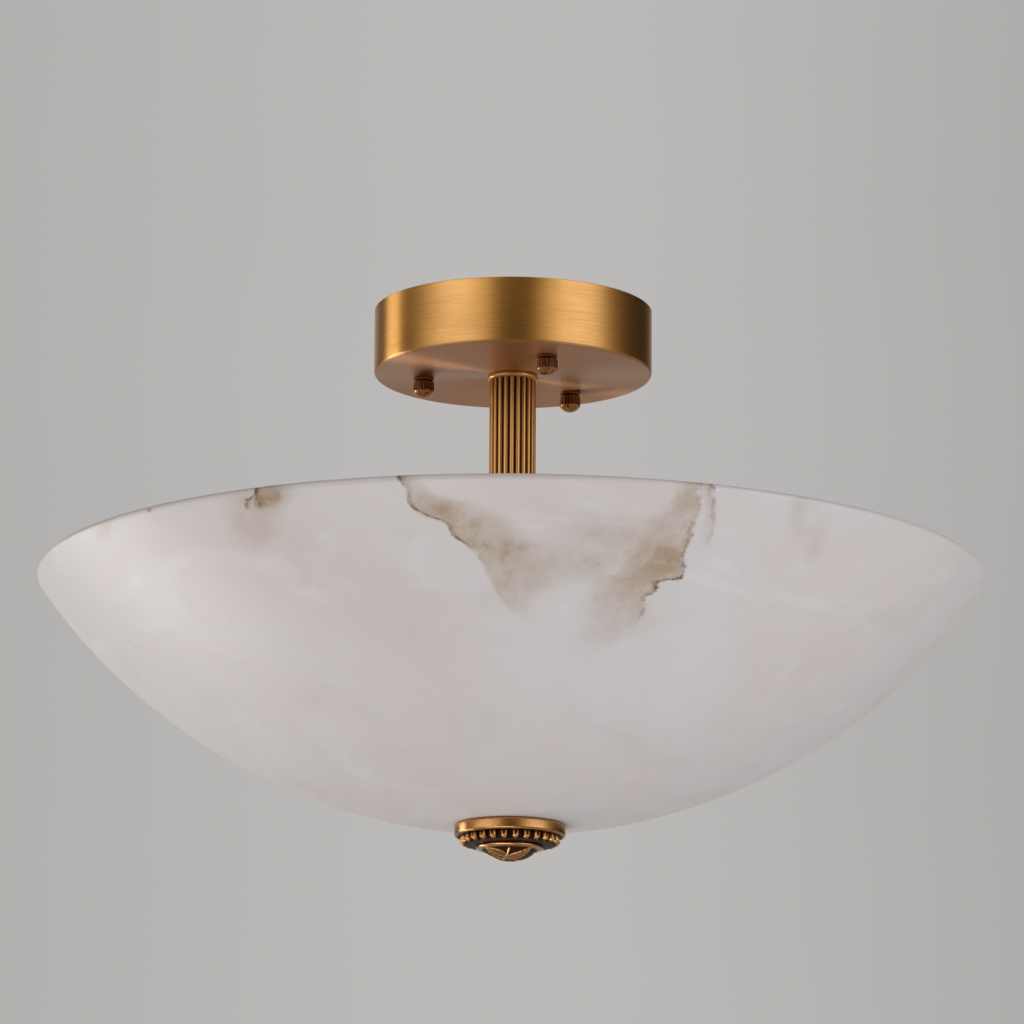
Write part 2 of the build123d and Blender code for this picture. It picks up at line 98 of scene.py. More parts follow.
class Signal:
    """A shader output that takes part in Python arithmetic."""

    def __init__(self, recipe: Recipe, socket: bpy.types.NodeSocket) -> None:
        """Keeps the output and the recipe that it belongs to."""
        self.recipe = recipe
        self.socket = socket

    def __add__(self, other: Amount) -> Signal:
        """This plus another amount."""
        return self.recipe.maths("ADD", self, other)

    def __radd__(self, other: Amount) -> Signal:
        """Another amount plus this."""
        return self.recipe.maths("ADD", other, self)

    def __sub__(self, other: Amount) -> Signal:
        """This less another amount."""
        return self.recipe.maths("SUBTRACT", self, other)

    def __rsub__(self, other: Amount) -> Signal:
        """Another amount less this."""
        return self.recipe.maths("SUBTRACT", other, self)

    def __mul__(self, other: Amount) -> Signal:
        """This times another amount."""
        return self.recipe.maths("MULTIPLY", self, other)

    def __rmul__(self, other: Amount) -> Signal:
        """Another amount times this."""
        return self.recipe.maths("MULTIPLY", other, self)

    def __truediv__(self, other: Amount) -> Signal:
        """This over another amount."""
        return self.recipe.maths("DIVIDE", self, other)

    def __pow__(self, other: Amount) -> Signal:
        """This raised to a power."""
        return self.recipe.maths("POWER", self, other)

    def __abs__(self) -> Signal:
        """This without its sign."""
        return self.recipe.maths("ABSOLUTE", self)


Amount = Signal | float
Paint = Signal | Colour


class Recipe:
    """One node tree, written as expressions."""

    def __init__(self, tree: bpy.types.NodeTree) -> None:
        """Starts from an empty tree."""
        self.tree = tree
        tree.nodes.clear()

    def node(
        self,
        kind: str,
        settings: Mapping[str, object] | None = None,
        inputs: Mapping[str | int, object] | None = None,
        output: str | None = None,
    ) -> Signal:
        """Adds one node.

        Args:
            kind: The node's type.
            settings: Its own settings, set first. "stops" fills a colour ramp with
                (place, colour) pairs and "points" a curve with (x, y) pairs.
            inputs: Values or signals by socket name or position.
            output: The output wanted, or None for the first that is in use.

        Returns:
            The output as a signal.
        """
        node = self.tree.nodes.new(kind)
        for name, value in (settings or {}).items():
            if name == "stops":
                self._fill_ramp(node, value)
            elif name == "points":
                self._fill_curve(node, value)
            else:
                setattr(node, name, value)
        for name, value in (inputs or {}).items():
            socket = node.inputs[name] if isinstance(name, int) else self._open(node.inputs, name)
            if isinstance(value, Signal):
                self.tree.links.new(value.socket, socket)
            else:
                socket.default_value = value
        return Signal(self, self._open(node.outputs, output))

    @staticmethod
    def _open(sockets: Sequence[bpy.types.NodeSocket], name: str | None) -> bpy.types.NodeSocket:
        """The first socket in use, of that name if one is given."""
        return next(s for s in sockets if s.enabled and name in (None, s.name))

    @staticmethod
    def _fill_ramp(node: bpy.types.Node, stops: Sequence[tuple[float, Colour]]) -> None:
        """Sets the stops of a colour ramp, which starts with two.

        Args:
            node: The ramp.
            stops: (place, colour) pairs, in order.
        """
        elements = node.color_ramp.elements
        while len(elements) < len(stops):
            elements.new(1.0)
        for element, (place, colour) in zip(elements, stops):
            element.position = place
            element.color = (*colour, 1.0)

    @staticmethod
    def _fill_curve(node: bpy.types.Node, points: Sequence[Point]) -> None:
        """Sets the points of a curve, which starts with two.

        Args:
            node: The curve's node.
            points: (x, y) pairs, in order.
        """
        curve = node.mapping.curves[0]
        for x, y in points[1:-1]:
            curve.points.new(x, y)
        curve.points[0].location = points[0]
        curve.points[-1].location = points[-1]
        node.mapping.update()

    def maths(self, operation: str, *amounts: Amount) -> Signal:
        """Adds one Math node on one or two amounts."""
        return self.node("ShaderNodeMath", {"operation": operation}, dict(enumerate(amounts)))

    def higher(self, first: Amount, second: Amount) -> Signal:
        """The larger of two amounts."""
        return self.maths("MAXIMUM", first, second)

    def radius(self, x: Signal, y: Signal) -> Signal:
        """The distance from the axis."""
        return self.maths("SQRT", x * x + y * y)

    def step(self, amount: Amount, low: float, high: float) -> Signal:
        """Rises smoothly from 0 at low to 1 at high, or falls where low is the larger."""
        ends = {"Value": amount, "From Min": low, "From Max": high}
        return self.node("ShaderNodeMapRange", {"interpolation_type": "SMOOTHSTEP"}, ends)

    def blend(self, share: Amount, first: Paint, second: Paint, mode: str = "MIX") -> Signal:
        """Mixes two colours by a share of the second, or in another of the node's modes."""
        colours = {"Factor": share, "A": self._solid(first), "B": self._solid(second)}
        return self.node("ShaderNodeMix", {"data_type": "RGBA", "blend_type": mode}, colours)

    @staticmethod
    def _solid(colour: Paint) -> Paint | tuple[float, ...]:
        """Gives a plain colour its fourth value."""
        return colour if isinstance(colour, Signal) else (*colour, 1.0)

    def place(self) -> Signal:
        """The point on the object in the frame's axes."""
        return self.node("ShaderNodeTexCoord", output="Object")

    def axes(self, vector: Signal) -> tuple[Signal, Signal, Signal]:
        """Splits a vector into its three parts."""
        split = self.node("ShaderNodeSeparateXYZ", inputs={0: vector}).socket.node
        return tuple(Signal(self, output) for output in split.outputs)

    def joined(self, x: Amount, y: Amount, z: Amount) -> Signal:
        """Makes a vector from three amounts."""
        return self.node("ShaderNodeCombineXYZ", inputs={0: x, 1: y, 2: z})

    def noise(
        self, vector: Signal, scale: float, detail: float = 3.0, rough: float = 0.5, bend: float = 0.0
    ) -> Signal:
        """Soft noise about a half.

        Args:
            vector: Where it is read.
            scale: Lumps to the metre.
            detail: Finer layers added.
            rough: Strength of each finer layer.
            bend: How much the noise bends its own pattern.

        Returns:
            The noise, 0 to 1.
        """
        inputs = {"Vector": vector, "Scale": scale, "Detail": detail, "Roughness": rough}
        return self.node("ShaderNodeTexNoise", inputs={**inputs, "Distortion": bend})

    def curve(self, amount: Amount, points: Sequence[Point], along: Point, up: Point) -> Signal:
        """Follows a drawn curve.

        Args:
            amount: Where it is read.
            points: (amount, value) pairs, in order.
            along: The lowest and the highest amount.
            up: The lowest and the highest value.

        Returns:
            The value.
        """
        width, height = along[1] - along[0], up[1] - up[0]
        scaled = [((x - along[0]) / width, (y - up[0]) / height) for x, y in points]
        share = self.maths("SUBTRACT", amount, along[0]) / width
        return self.node("ShaderNodeFloatCurve", {"points": scaled}, {"Value": share}) * height + up[0]

    def bump(self, height: Signal, depth: float, strength: float = 1.0) -> Signal:
        """Turns a height, 0 to 1, into a normal for a surface that deep."""
        return self.node("ShaderNodeBump", inputs={"Strength": strength, "Distance": depth, "Height": height})

    def surface(self, sockets: Mapping[str, object]) -> None:
        """Ends the recipe in one principled surface with these values and signals."""
        shader = self.node("ShaderNodeBsdfPrincipled", inputs=sockets)
        self.node_output("ShaderNodeOutputMaterial", shader)

    def node_output(self, kind: str, shader: Signal) -> None:
        """Links a shader to the tree's output node."""
        target = self.tree.nodes.new(kind)
        self.tree.links.new(shader.socket, target.inputs["Surface"])


class Finish:
    """A finish that can be made into a material."""

    name: str

    def material(self) -> bpy.types.Material:
        """Makes the material from its recipe.

        Returns:
            The material.
        """
        material = bpy.data.materials.new(self.name)
        material.use_nodes = True
        self.write(Recipe(material.node_tree))
        return material

    def write(self, recipe: Recipe) -> None:
        """Writes the recipe of this finish."""
        raise NotImplementedError


@dataclass(frozen=True)
class Seam:
    """One brown seam in the stone, followed from the rim down. Lengths are in millimetres.

    Attributes:
        line: (depth, sideways) of its sharp edge.
        reach: (depth, width) of the cloud beside that edge.
        cloud: (depth, strength) of the cloud, 0 to 1.
        core: (depth, strength) of the dark thread along the edge, 0 to 1.
        side: 1 where the cloud lies to the right of the edge, -1 to the left.
    """

    line: tuple[Point, ...]
    reach: tuple[Point, ...]
    cloud: tuple[Point, ...]
    core: tuple[Point, ...]
    side: float


@dataclass(frozen=True)
class Blotch:
    """One soft stain: its middle and half widths in millimetres, how brown and how dark it is."""

    sideways: float
    depth: float
    half_width: float
    half_depth: float
    brown: float
    dark: float = 0.0


@dataclass(frozen=True)
class Alabaster(Finish):
    """Honed white stone with clouds, brown seams and a faint crystalline grain.

    Attributes:
        rim: Level of the bowl's rim, in metres.
        seams: Seams of the front, which the back repeats in another size.
        blotches: Stains of the front beside the seams.
        depth_span: Depth that the seams' curves cover, in millimetres.
        side_span: Distance to each side that they cover, in millimetres.
        face_start: Distance in front of the axis where the stains begin, in metres.
        face_full: Distance where they show in full.
        back_scale: Sideways and downward scale of the back's stains.
        back_shift: How far those are moved sideways, in millimetres.
        back_share: How strong those are.
        slow_wander: How far a seam wanders in long waves, in millimetres.
        quick_wander: How far it wanders in short ones.
        edge_width: Width of the brown edge beside a seam, in millimetres.
        thread_width: Half width of its dark thread.
    """

    rim: float
    name: str = "alabaster"
    cool_white: Colour = linear(205, 200, 200)
    warm_white: Colour = linear(203, 192, 188)
    grey_cloud: Colour = linear(192, 184, 182)
    frost: Colour = linear(214, 213, 215)
    haze_brown: Colour = linear(158, 131, 96)
    thread_brown: Colour = linear(102, 66, 34)
    seams: tuple[Seam, ...] = (
        Seam(
            line=(
                (0, -55), (9, -51), (15, -48), (18, -42), (22, -32), (28, -27.5), (32, -21),
                (38, -15), (48, -9.5), (55, -4), (60, 2),
            ),
            reach=(
                (0, 12), (8, 15), (12, 30), (14, 40), (20, 41), (28, 42), (32, 50), (44, 40), (52, 26),
                (62, 12),
            ),
            cloud=(
                (0, 0.6), (6, 0.5), (12, 0.7), (15, 0.8), (24, 0.75), (34, 0.8), (41, 0.65), (49, 0.5),
                (56, 0.28), (64, 0),
            ),
            core=((0, 0.95), (4, 0.8), (9, 0.55), (16, 0.85), (24, 0.9), (31, 0.7), (36, 0.2), (60, 0)),
            side=1.0,
        ),
        Seam(
            line=(
                (0, 93), (6, 91), (13, 91), (18, 88.5), (27, 87), (32, 85), (37, 84), (42, 81), (44, 73),
                (48, 71), (51, 66.5), (57, 64.5), (61, 61),
            ),
            reach=((0, 14), (6, 14), (12, 18), (19, 32), (30, 40), (43, 42), (60, 34), (70, 20)),
            cloud=(
                (0, 0.5), (10, 0.55), (20, 0.5), (28, 0.62), (34, 0.85), (44, 0.7), (52, 0.52), (60, 0.36),
                (68, 0.14), (74, 0),
            ),
            core=(
                (0, 0.5), (6, 0.4), (20, 0.4), (27, 0.85), (31, 0.7), (38, 0.6), (43, 1), (48, 0.8),
                (56, 0.5), (63, 0),
            ),
            side=-1.0,
        ),
        Seam(
            line=((0, 98), (8, 98), (13, 99), (21, 97.5), (25, 96.5)),
            reach=((0, 5), (25, 4)),
            cloud=((0, 0.4), (8, 0.25), (16, 0.12), (27, 0)),
            core=((0, 0.8), (3, 0.5), (10, 0.3), (22, 0.2), (28, 0)),
            side=-1.0,
        ),
        Seam(
            line=((0, -126.2), (3.4, -125.8), (5.1, -125.6), (7.8, -123.9), (9.8, -122.9), (13, -121.5)),
            reach=((0, 18), (13, 12)),
            cloud=((0, 0.6), (4, 0.6), (8, 0.4), (12, 0.15), (15, 0)),
            core=((0, 0.8), (3, 0.95), (6, 1), (9, 0.9), (10.5, 0.3), (12, 0)),
            side=1.0,
        ),
        Seam(
            line=(
                (0, -126), (3.4, -126.2), (4.5, -128), (5.1, -129.3), (6.7, -130.3), (8.2, -130.8),
                (12, -131),
            ),
            reach=((0, 6), (12, 5)),
            cloud=((0, 0), (3, 0.1), (4, 0.4), (8, 0.3), (11, 0)),
            core=((0, 0), (3.4, 0.1), (4, 0.8), (6, 0.8), (8.2, 0.6), (10, 0)),
            side=1.0,
        ),
    )
    blotches: tuple[Blotch, ...] = (
        Blotch(-37.0, 16.5, 8.0, 3.0, 0.75, 0.2),
        Blotch(-2.0, 33.0, 11.0, 3.0, 0.8, 0.25),
        Blotch(76.0, 33.0, 9.0, 5.0, 0.6, 0.15),
        Blotch(30.0, 37.0, 34.0, 8.0, 0.42),
        Blotch(50.0, 26.0, 24.0, 9.0, 0.36),
        Blotch(50.0, 56.0, 17.0, 10.0, 0.34),
        Blotch(-127.0, 12.0, 13.0, 14.0, 0.42),
        Blotch(-118.5, 4.5, 9.0, 6.5, 0.95, 0.3),
        Blotch(-123.0, 7.0, 5.0, 5.0, 0.95, 0.6),
        Blotch(143.0, 9.0, 6.0, 10.0, 0.24),
        Blotch(150.0, 19.0, 6.0, 9.0, 0.15),
        Blotch(-181.0, 2.5, 1.6, 1.2, 0.6, 0.9),
        Blotch(-206.0, 4.5, 6.0, 5.0, 0.28),
        Blotch(36.5, 38.0, 1.0, 1.0, 0.4, 0.5),
        Blotch(42.5, 38.0, 1.0, 1.0, 0.4, 0.5),
    )
    depth_span: float = 80.0
    side_span: float = 150.0
    face_start: float = 80.0 * MM
    face_full: float = 130.0 * MM
    back_scale: Point = (-0.8, 1.3)
    back_shift: float = 30.0
    back_share: float = 0.6
    slow_wander: float = 12.0
    quick_wander: float = 8.0
    edge_width: float = 7.0
    thread_width: float = 1.9

    def write(self, recipe: Recipe) -> None:
        """Writes clouds first, then the seams of the front and, fainter, of the back.

        Args:
            recipe: The recipe of the material.
        """
        place = recipe.place()
        x, y, z = recipe.axes(place)
        clouds = recipe.noise(place, 5.0, detail=5.0, rough=0.55, bend=0.5)
        wisps = recipe.noise(place, 20.0, detail=6.0, rough=0.62, bend=1.0)
        streaks = recipe.noise(recipe.joined(x, y, z * 2.5), 11.0, detail=6.0, rough=0.62, bend=1.4)
        stone = recipe.blend(recipe.step(clouds, 0.3, 0.66), self.cool_white, self.warm_white)
        stone = recipe.blend(recipe.step(wisps, 0.5, 0.78) * 0.5, stone, self.grey_cloud)
        stone = recipe.blend(recipe.step(streaks, 0.53, 0.72) * 0.4, stone, self.frost)
        across, depth = x / MM, (self.rim - z) / MM
        stretch, drop = self.back_scale
        front = recipe.step(y, -self.face_start, -self.face_full)
        back = recipe.step(y, self.face_start, self.face_full) * self.back_share
        front_haze, front_core = self._stains(recipe, place, across, depth)
        back_haze, back_core = self._stains(recipe, place, across * stretch + self.back_shift, depth * drop)
        haze = recipe.higher(front_haze * front, back_haze * back)
        core = recipe.higher(front_core * front, back_core * back)
        stone = recipe.blend(haze, stone, self.haze_brown)
        stone = recipe.blend(core, stone, self.thread_brown)
        grain = recipe.noise(place, 900.0, detail=2.0, rough=0.6)
        recipe.surface(
            {
                "Base Color": stone,
                "Roughness": 0.36 + 0.14 * clouds + 0.1 * haze,
                "Subsurface Weight": 0.35,
                "Subsurface Radius": (1.0, 0.8, 0.65),
                "Subsurface Scale": 4.0 * MM,
                "Coat Weight": 0.1,
                "Coat Roughness": 0.3,
                "Normal": recipe.bump(grain + 0.6 * wisps, 0.3 * MM, 0.35),
            }
        )

    def _stains(
        self, recipe: Recipe, place: Signal, sideways: Signal, depth: Signal
    ) -> tuple[Signal, Signal]:
        """Works out the brown stains of one side of the bowl.

        Args:
            recipe: The recipe that they are written in.
            place: The point on the stone.
            sideways: Distance to the right of the middle, in millimetres.
            depth: Distance under the rim, in millimetres.

        Returns:
            The share of haze and the share of dark thread.
        """
        slow = (recipe.noise(place, 34.0, detail=4.0, rough=0.6) - 0.5) * self.slow_wander
        quick = (recipe.noise(place, 140.0, detail=5.0, rough=0.65) - 0.5) * self.quick_wander
        mottling = recipe.noise(place, 75.0, detail=6.0, rough=0.65)
        breaks = recipe.noise(place, 260.0, detail=4.0, rough=0.6)
        patchy = 0.5 + 0.5 * recipe.step(mottling, 0.34, 0.62)
        across = sideways + slow * 0.3 + quick
        down = depth + (slow + quick) * 0.4
        along, share = (0.0, self.depth_span), (0.0, 1.0)
        haze: Amount = 0.0
        core: Amount = 0.0
        for seam in self.seams:
            line = recipe.curve(down, seam.line, along, (-self.side_span, self.side_span))
            reach = recipe.curve(down, seam.reach, along, (0.0, self.side_span))
            dark = recipe.curve(down, seam.core, along, share)
            side = (across - line) * seam.side
            cloud = recipe.step(side, -1.5, 2.0) * recipe.step(side + slow, reach, reach * 0.3)
            cloud = cloud * recipe.curve(down, seam.cloud, along, share) * patchy
            edge = recipe.step(side, -1.6, 0.6) * recipe.step(side, self.edge_width, 0.6) * dark
            thread = recipe.step(abs(side), self.thread_width, 0.2) * dark
            haze = recipe.higher(haze, recipe.higher(cloud, edge * 0.9))
            core = recipe.higher(core, thread * recipe.step(breaks, 0.34, 0.62))
        for blotch in self.blotches:
            x, y = (across - blotch.sideways) / blotch.half_width, (down - blotch.depth) / blotch.half_depth
            far = recipe.joined(x, y, 0.0)
            reach = recipe.node("ShaderNodeVectorMath", {"operation": "LENGTH"}, {0: far}, "Value")
            haze = recipe.higher(haze, recipe.step(reach, 1.5, 0.2) * patchy * blotch.brown)
            if blotch.dark:
                spot = recipe.step(reach, 1.1, 0.3) * (0.9 * blotch.dark)
                core = recipe.higher(core, spot * breaks)
        return haze, core


class Brushing(Enum):
    """Whether a brass piece is brushed, and which way."""

    ROUND = "round"
    NONE = "none"


@dataclass(frozen=True)
class AgedBrass(Finish):
    """Brushed and lacquered brass, browned by age, with a duller flat underside at one level whose paler
    colour is a painted reflection.

    Attributes:
        brushing: Which way it is brushed.
        rough: Its least roughness.
        sheen: How far the brushing draws out its highlights.
        underside: Level of the flat underside, or far below the light where there is none.
        lines: Brushed lines to the metre.
        stroke: How often they break on the way round.
        grain: Specks to the metre where it isn't brushed.
    """

    brushing: Brushing
    name: str = "aged_brass"
    bright: Colour = linear(213, 155, 78)
    brown: Colour = linear(168, 110, 48)
    # Paler colour of the flat underside, a painted reflection of the pale room at a grazing angle.
    painted_underside_reflection: Colour = linear(234, 174, 128)
    rough: float = 0.29
    sheen: float = 0.93
    underside: float = -1.0
    lines: float = 2200.0
    stroke: float = 3.0
    grain: float = 420.0

    def write(self, recipe: Recipe) -> None:
        """Writes the tarnish, the brushing and the painted reflection on the underside.

        Args:
            recipe: The recipe of the material.
        """
        place = recipe.place()
        x, y, z = recipe.axes(place)
        tarnish = recipe.noise(place, 26.0, detail=5.0, rough=0.6, bend=0.4)
        if self.brushing is Brushing.ROUND:
            radius = recipe.radius(x, y)
            x, y = x / radius * self.stroke, y / radius * self.stroke
            lay = recipe.joined(x, y, (z + radius) * self.lines)
            scratches = recipe.noise(lay, 1.0, detail=4.0, rough=0.7)
        else:
            scratches = recipe.noise(place, self.grain, detail=3.0, rough=0.6)
        flat = recipe.step(z, self.underside + 1.4 * MM, self.underside + 0.2 * MM)
        colour = recipe.blend(recipe.step(tarnish, 0.4, 0.75) * 0.3, self.bright, self.brown)
        colour = recipe.blend(recipe.step(scratches, 0.42, 0.72) * 0.5, colour, self.brown)
        # Painted reflection: the flat underside turns paler, standing in for its grazing reflection of the
        # room.
        colour = recipe.blend(flat * 0.8, colour, self.painted_underside_reflection)
        recipe.surface(
            {
                "Base Color": colour,
                "Metallic": 1.0,
                "Roughness": self.rough + 0.08 * tarnish + 0.06 * scratches + 0.09 * flat,
                "Anisotropic": self.sheen,
                "Anisotropic Rotation": 0.25,
                "Coat Weight": 0.3,
                "Coat Roughness": 0.16,
                "Normal": recipe.bump(scratches, 0.04 * MM, 0.5),
            }
        )


@dataclass(frozen=True)
class ReededBrass(Finish):
    """Brass of the stem, with a painted highlight on the reeds' crests, browner sides and painted shade in
    the grooves between them.

    Attributes:
        crest: Radius of the reeds' crests.
        root: Radius of the grooves between them.
        brown_from: Share of the way up a reed where the dark has given way to brown.
        bright_from: Share of the way up where the bright begins.
        wander: How far those levels wander with the tarnish.
    """

    crest: float
    root: float
    name: str = "reeded_brass"
    # Colours of the crests' painted highlight, the reeds' sides and the grooves' painted shade.
    bright: Colour = linear(210, 156, 90)
    brown: Colour = linear(154, 102, 50)
    dark: Colour = linear(56, 34, 16)
    brown_from: float = 0.45
    bright_from: float = 0.72
    wander: float = 0.2 * MM

    def write(self, recipe: Recipe) -> None:
        """Writes the painted shade of the grooves and the painted highlight of the crests by the distance
        from the axis.

        Args:
            recipe: The recipe of the material.
        """
        x, y, z = recipe.axes(recipe.place())
        tarnish = recipe.noise(recipe.joined(x, y, z * 0.3), 160.0, detail=4.0, rough=0.6)
        level = recipe.radius(x, y) + (tarnish - 0.5) * self.wander
        height = self.crest - self.root
        # Painted shade between the reeds and a painted highlight on their crests, both set by the distance
        # from the axis.
        raised = recipe.step(level, self.root, self.root + self.brown_from * height)
        bright_share = recipe.step(level, self.root + self.bright_from * height, self.crest)
        colour = recipe.blend(bright_share, recipe.blend(raised, self.dark, self.brown), self.bright)
        recipe.surface(
            {
                "Base Color": colour,
                "Metallic": 1.0,
                "Roughness": 0.5 - 0.12 * raised + 0.06 * tarnish,
                "Normal": recipe.bump(tarnish, 0.03 * MM, 0.4),
            }
        )


@dataclass(frozen=True)
class CastBrass(Finish):
    """Cast brass with patina left in its hollows, read from how much wear each point shows; on the finial
    that layer also carries painted shade.

    Attributes:
        grainy: How much of the casting's grain shows, 0 to 1.
        grain: Grains to the metre.
    """

    name: str = "antique_brass"
    bright: Colour = linear(212, 154, 84)
    middle: Colour = linear(158, 106, 54)
    # Colour of the patina in hollows, also used for the finial's painted shade.
    patina_and_shade: Colour = linear(54, 29, 12)
    grainy: float = 1.0
    grain: float = 700.0

    def write(self, recipe: Recipe) -> None:
        """Writes the patina, the painted shade and the wear of the high points.

        Args:
            recipe: The recipe of the material.
        """
        raised = recipe.node("ShaderNodeAttribute", {"attribute_name": RAISED}, output="Fac")
        grain = recipe.noise(recipe.place(), self.grain, detail=4.0, rough=0.6)
        bright_share = recipe.step(raised + (grain - 0.5) * (0.25 * self.grainy), 0.05, 0.85)
        stops = [(0.0, self.patina_and_shade), (0.45, self.middle), (0.9, self.bright)]
        colour = recipe.node("ShaderNodeValToRGB", {"stops": stops}, {0: bright_share}, "Color")
        recipe.surface(
            {
                "Base Color": colour,
                "Metallic": 0.88 + 0.12 * bright_share,
                "Roughness": 0.48 - 0.34 * bright_share**0.5 + 0.05 * grain,
                "Coat Weight": 0.5 * bright_share,
                "Coat Roughness": 0.12,
                "Normal": recipe.bump(grain, 0.08 * MM, 0.4 * self.grainy),
            }
        )


@dataclass(frozen=True)
class Plain(Finish):
    """A fine even finish with a little mottling, for fittings.

    Attributes:
        colour: Its colour.
        shade: Its colour where the mottling is strongest.
        rough: Its least roughness.
        metallic: 1 for metal.
        coat: How much clear coat or glaze it has.
        patches: Patches of the mottling to the metre.
        lumps: Grains to the metre.
        subsurface: How much light goes through it.
    """

    name: str
    colour: Colour
    shade: Colour
    rough: float
    metallic: float = 0.0
    coat: float = 0.0
    patches: float = 40.0
    lumps: float = 300.0
    subsurface: float = 0.0

    def write(self, recipe: Recipe) -> None:
        """Writes the mottled colour and a fine bump.

        Args:
            recipe: The recipe of the material.
        """
        place = recipe.place()
        broad = recipe.noise(place, self.patches, detail=4.0, rough=0.6)
        fine = recipe.noise(place, self.lumps, detail=3.0, rough=0.6)
        recipe.surface(
            {
                "Base Color": recipe.blend(recipe.step(broad, 0.35, 0.75) * 0.7, self.colour, self.shade),
                "Metallic": self.metallic,
                "Roughness": self.rough + 0.1 * fine,
                "Coat Weight": self.coat,
                "Subsurface Weight": self.subsurface,
                "Subsurface Scale": 2.0 * MM,
                "Normal": recipe.bump(fine, 0.03 * MM, 0.5),
            }
        )


@dataclass(frozen=True)
class Threaded(Finish):
    """Zinc-plated rod with a fine thread of some pitch cut along Z."""

    pitch: float
    name: str = "threaded_steel"
    colour: Colour = linear(196, 197, 200)
    groove: Colour = linear(90, 88, 86)

    def write(self, recipe: Recipe) -> None:
        """Writes the thread as a wave along the rod, with painted shade in its grooves.

        Args:
            recipe: The recipe of the material.
        """
        place = recipe.place()
        x, y, z = recipe.axes(place)
        turn = recipe.maths("ARCTAN2", y, x) * (1 / TAU)
        wave = recipe.maths("PINGPONG", z / self.pitch + turn, 0.5) * 2.0
        grain = recipe.noise(place, 500.0, detail=3.0)
        # Painted shade: the thread's grooves are darkened in colour.
        dark = recipe.step(wave, 0.5, 0.0) * 0.8
        recipe.surface(
            {
                "Base Color": recipe.blend(dark, self.colour, self.groove, "MULTIPLY"),
                "Metallic": 1.0,
                "Roughness": 0.3 + 0.12 * grain,
                "Normal": recipe.bump(wave, 0.4 * MM, 0.8),
            }
        )


def clamped(value: float, low: float = 0.0, high: float = 1.0) -> float:
    """The value, held between two limits."""
    return min(high, max(low, value))


def ridge(far: float, width: float) -> float:
    """Height of a rounded ridge, 1 on its line and nothing well away from it."""
    return math.exp(-((far / width) ** 2))


def arc(centre: Point, radius: float, start: float, end: float, steps: int) -> list[Point]:
    """Points of a round stretch of a profile.

    Args:
        centre: Its centre, as (distance from the axis, height).
        radius: Its radius.
        start: First angle, in radians, from the outward direction towards up.
        end: Last angle.
        steps: Number of stretches between the points.

    Returns:
        The points, first and last among them.
    """
    angles = (start + (end - start) * step / steps for step in range(steps + 1))
    return [(centre[0] + radius * math.cos(a), centre[1] + radius * math.sin(a)) for a in angles]


def straight(start: Point, end: Point, steps: int) -> list[Point]:
    """Points of a straight stretch of a profile, first and last among them."""
    shares = (step / steps for step in range(steps + 1))
    return [(start[0] + (end[0] - start[0]) * s, start[1] + (end[1] - start[1]) * s) for s in shares]


@dataclass
class Turning:
    """A piece turned on a lathe, with an optional relief carved into it.

    Attributes:
        name: The piece's name.
        profile: Its outline as (distance from the axis, height), in order.
        around: Number of sides round the axis.
        closed: True where the outline comes back to its start.
        relief: How far a point is raised, from its distance, height and turn.
        sharp: Angle above which an edge stays sharp, in degrees.
    """

    name: str
    profile: Sequence[Point]
    around: int
    closed: bool = False
    relief: Relief | None = None
    sharp: float = SHARP

    def mesh(self) -> bmesh.types.BMesh:
        """Turns the outline.

        Returns:
            The mesh, with a layer that says how far each point is raised.
        """
        work = bmesh.new()
        raised = work.verts.layers.float.new(RAISED)
        rings: list[list[bmesh.types.BMVert]] = []
        for (radius, height), (out, up) in zip(self.profile, self._normals()):
            ring = []
            for side in range(1 if radius < ON_AXIS else self.around):
                turn = TAU * side / self.around
                lift = self.relief(radius, height, turn) if self.relief else 0.0
                r, z = radius + out * lift, height + up * lift
                vert = work.verts.new((r * math.cos(turn), r * math.sin(turn), z))
                vert[raised] = lift
                ring.append(vert)
            rings.append(ring)
        skinned(work, rings + rings[:1] if self.closed else rings)
        return work

    def _normals(self) -> list[Point]:
        """Finds the outward direction at each point of the outline from its neighbours.

        Returns:
            The directions, each of length 1.
        """
        count = len(self.profile)
        found: list[Point] = []
        for i, (radius, _) in enumerate(self.profile):
            before = self.profile[i - 1] if i or self.closed else self.profile[i]
            after = self.profile[(i + 1) % count] if i + 1 < count or self.closed else self.profile[i]
            run, rise = after[0] - before[0], after[1] - before[1]
            size = math.hypot(run, rise) or 1.0
            found.append((0.0, -1.0) if radius < ON_AXIS else (-rise / size, run / size))
        return found

    def build(self, material: bpy.types.Material) -> bpy.types.Object:
        """Makes the object in its place, smooth, with one material."""
        return finished(self.name, self.mesh(), material, self.sharp)


def skinned(work: bmesh.types.BMesh, rings: Sequence[Sequence[bmesh.types.BMVert]]) -> None:
    """Joins each ring of points to the next. A ring may be a single point.

    Args:
        work: The mesh.
        rings: The rings in order, with the first once more at the end where they close.
    """
    for first, second in zip(rings, rings[1:]):
        around = max(len(first), len(second))
        for side in range(around):
            after = (side + 1) % around
            corners = [first[side % len(first)], first[after % len(first)]]
            corners += [second[after % len(second)], second[side % len(second)]]
            unique = list(dict.fromkeys(corners))
            if len(unique) > 2:
                work.faces.new(unique)
    bmesh.ops.recalc_face_normals(work, faces=work.faces[:])


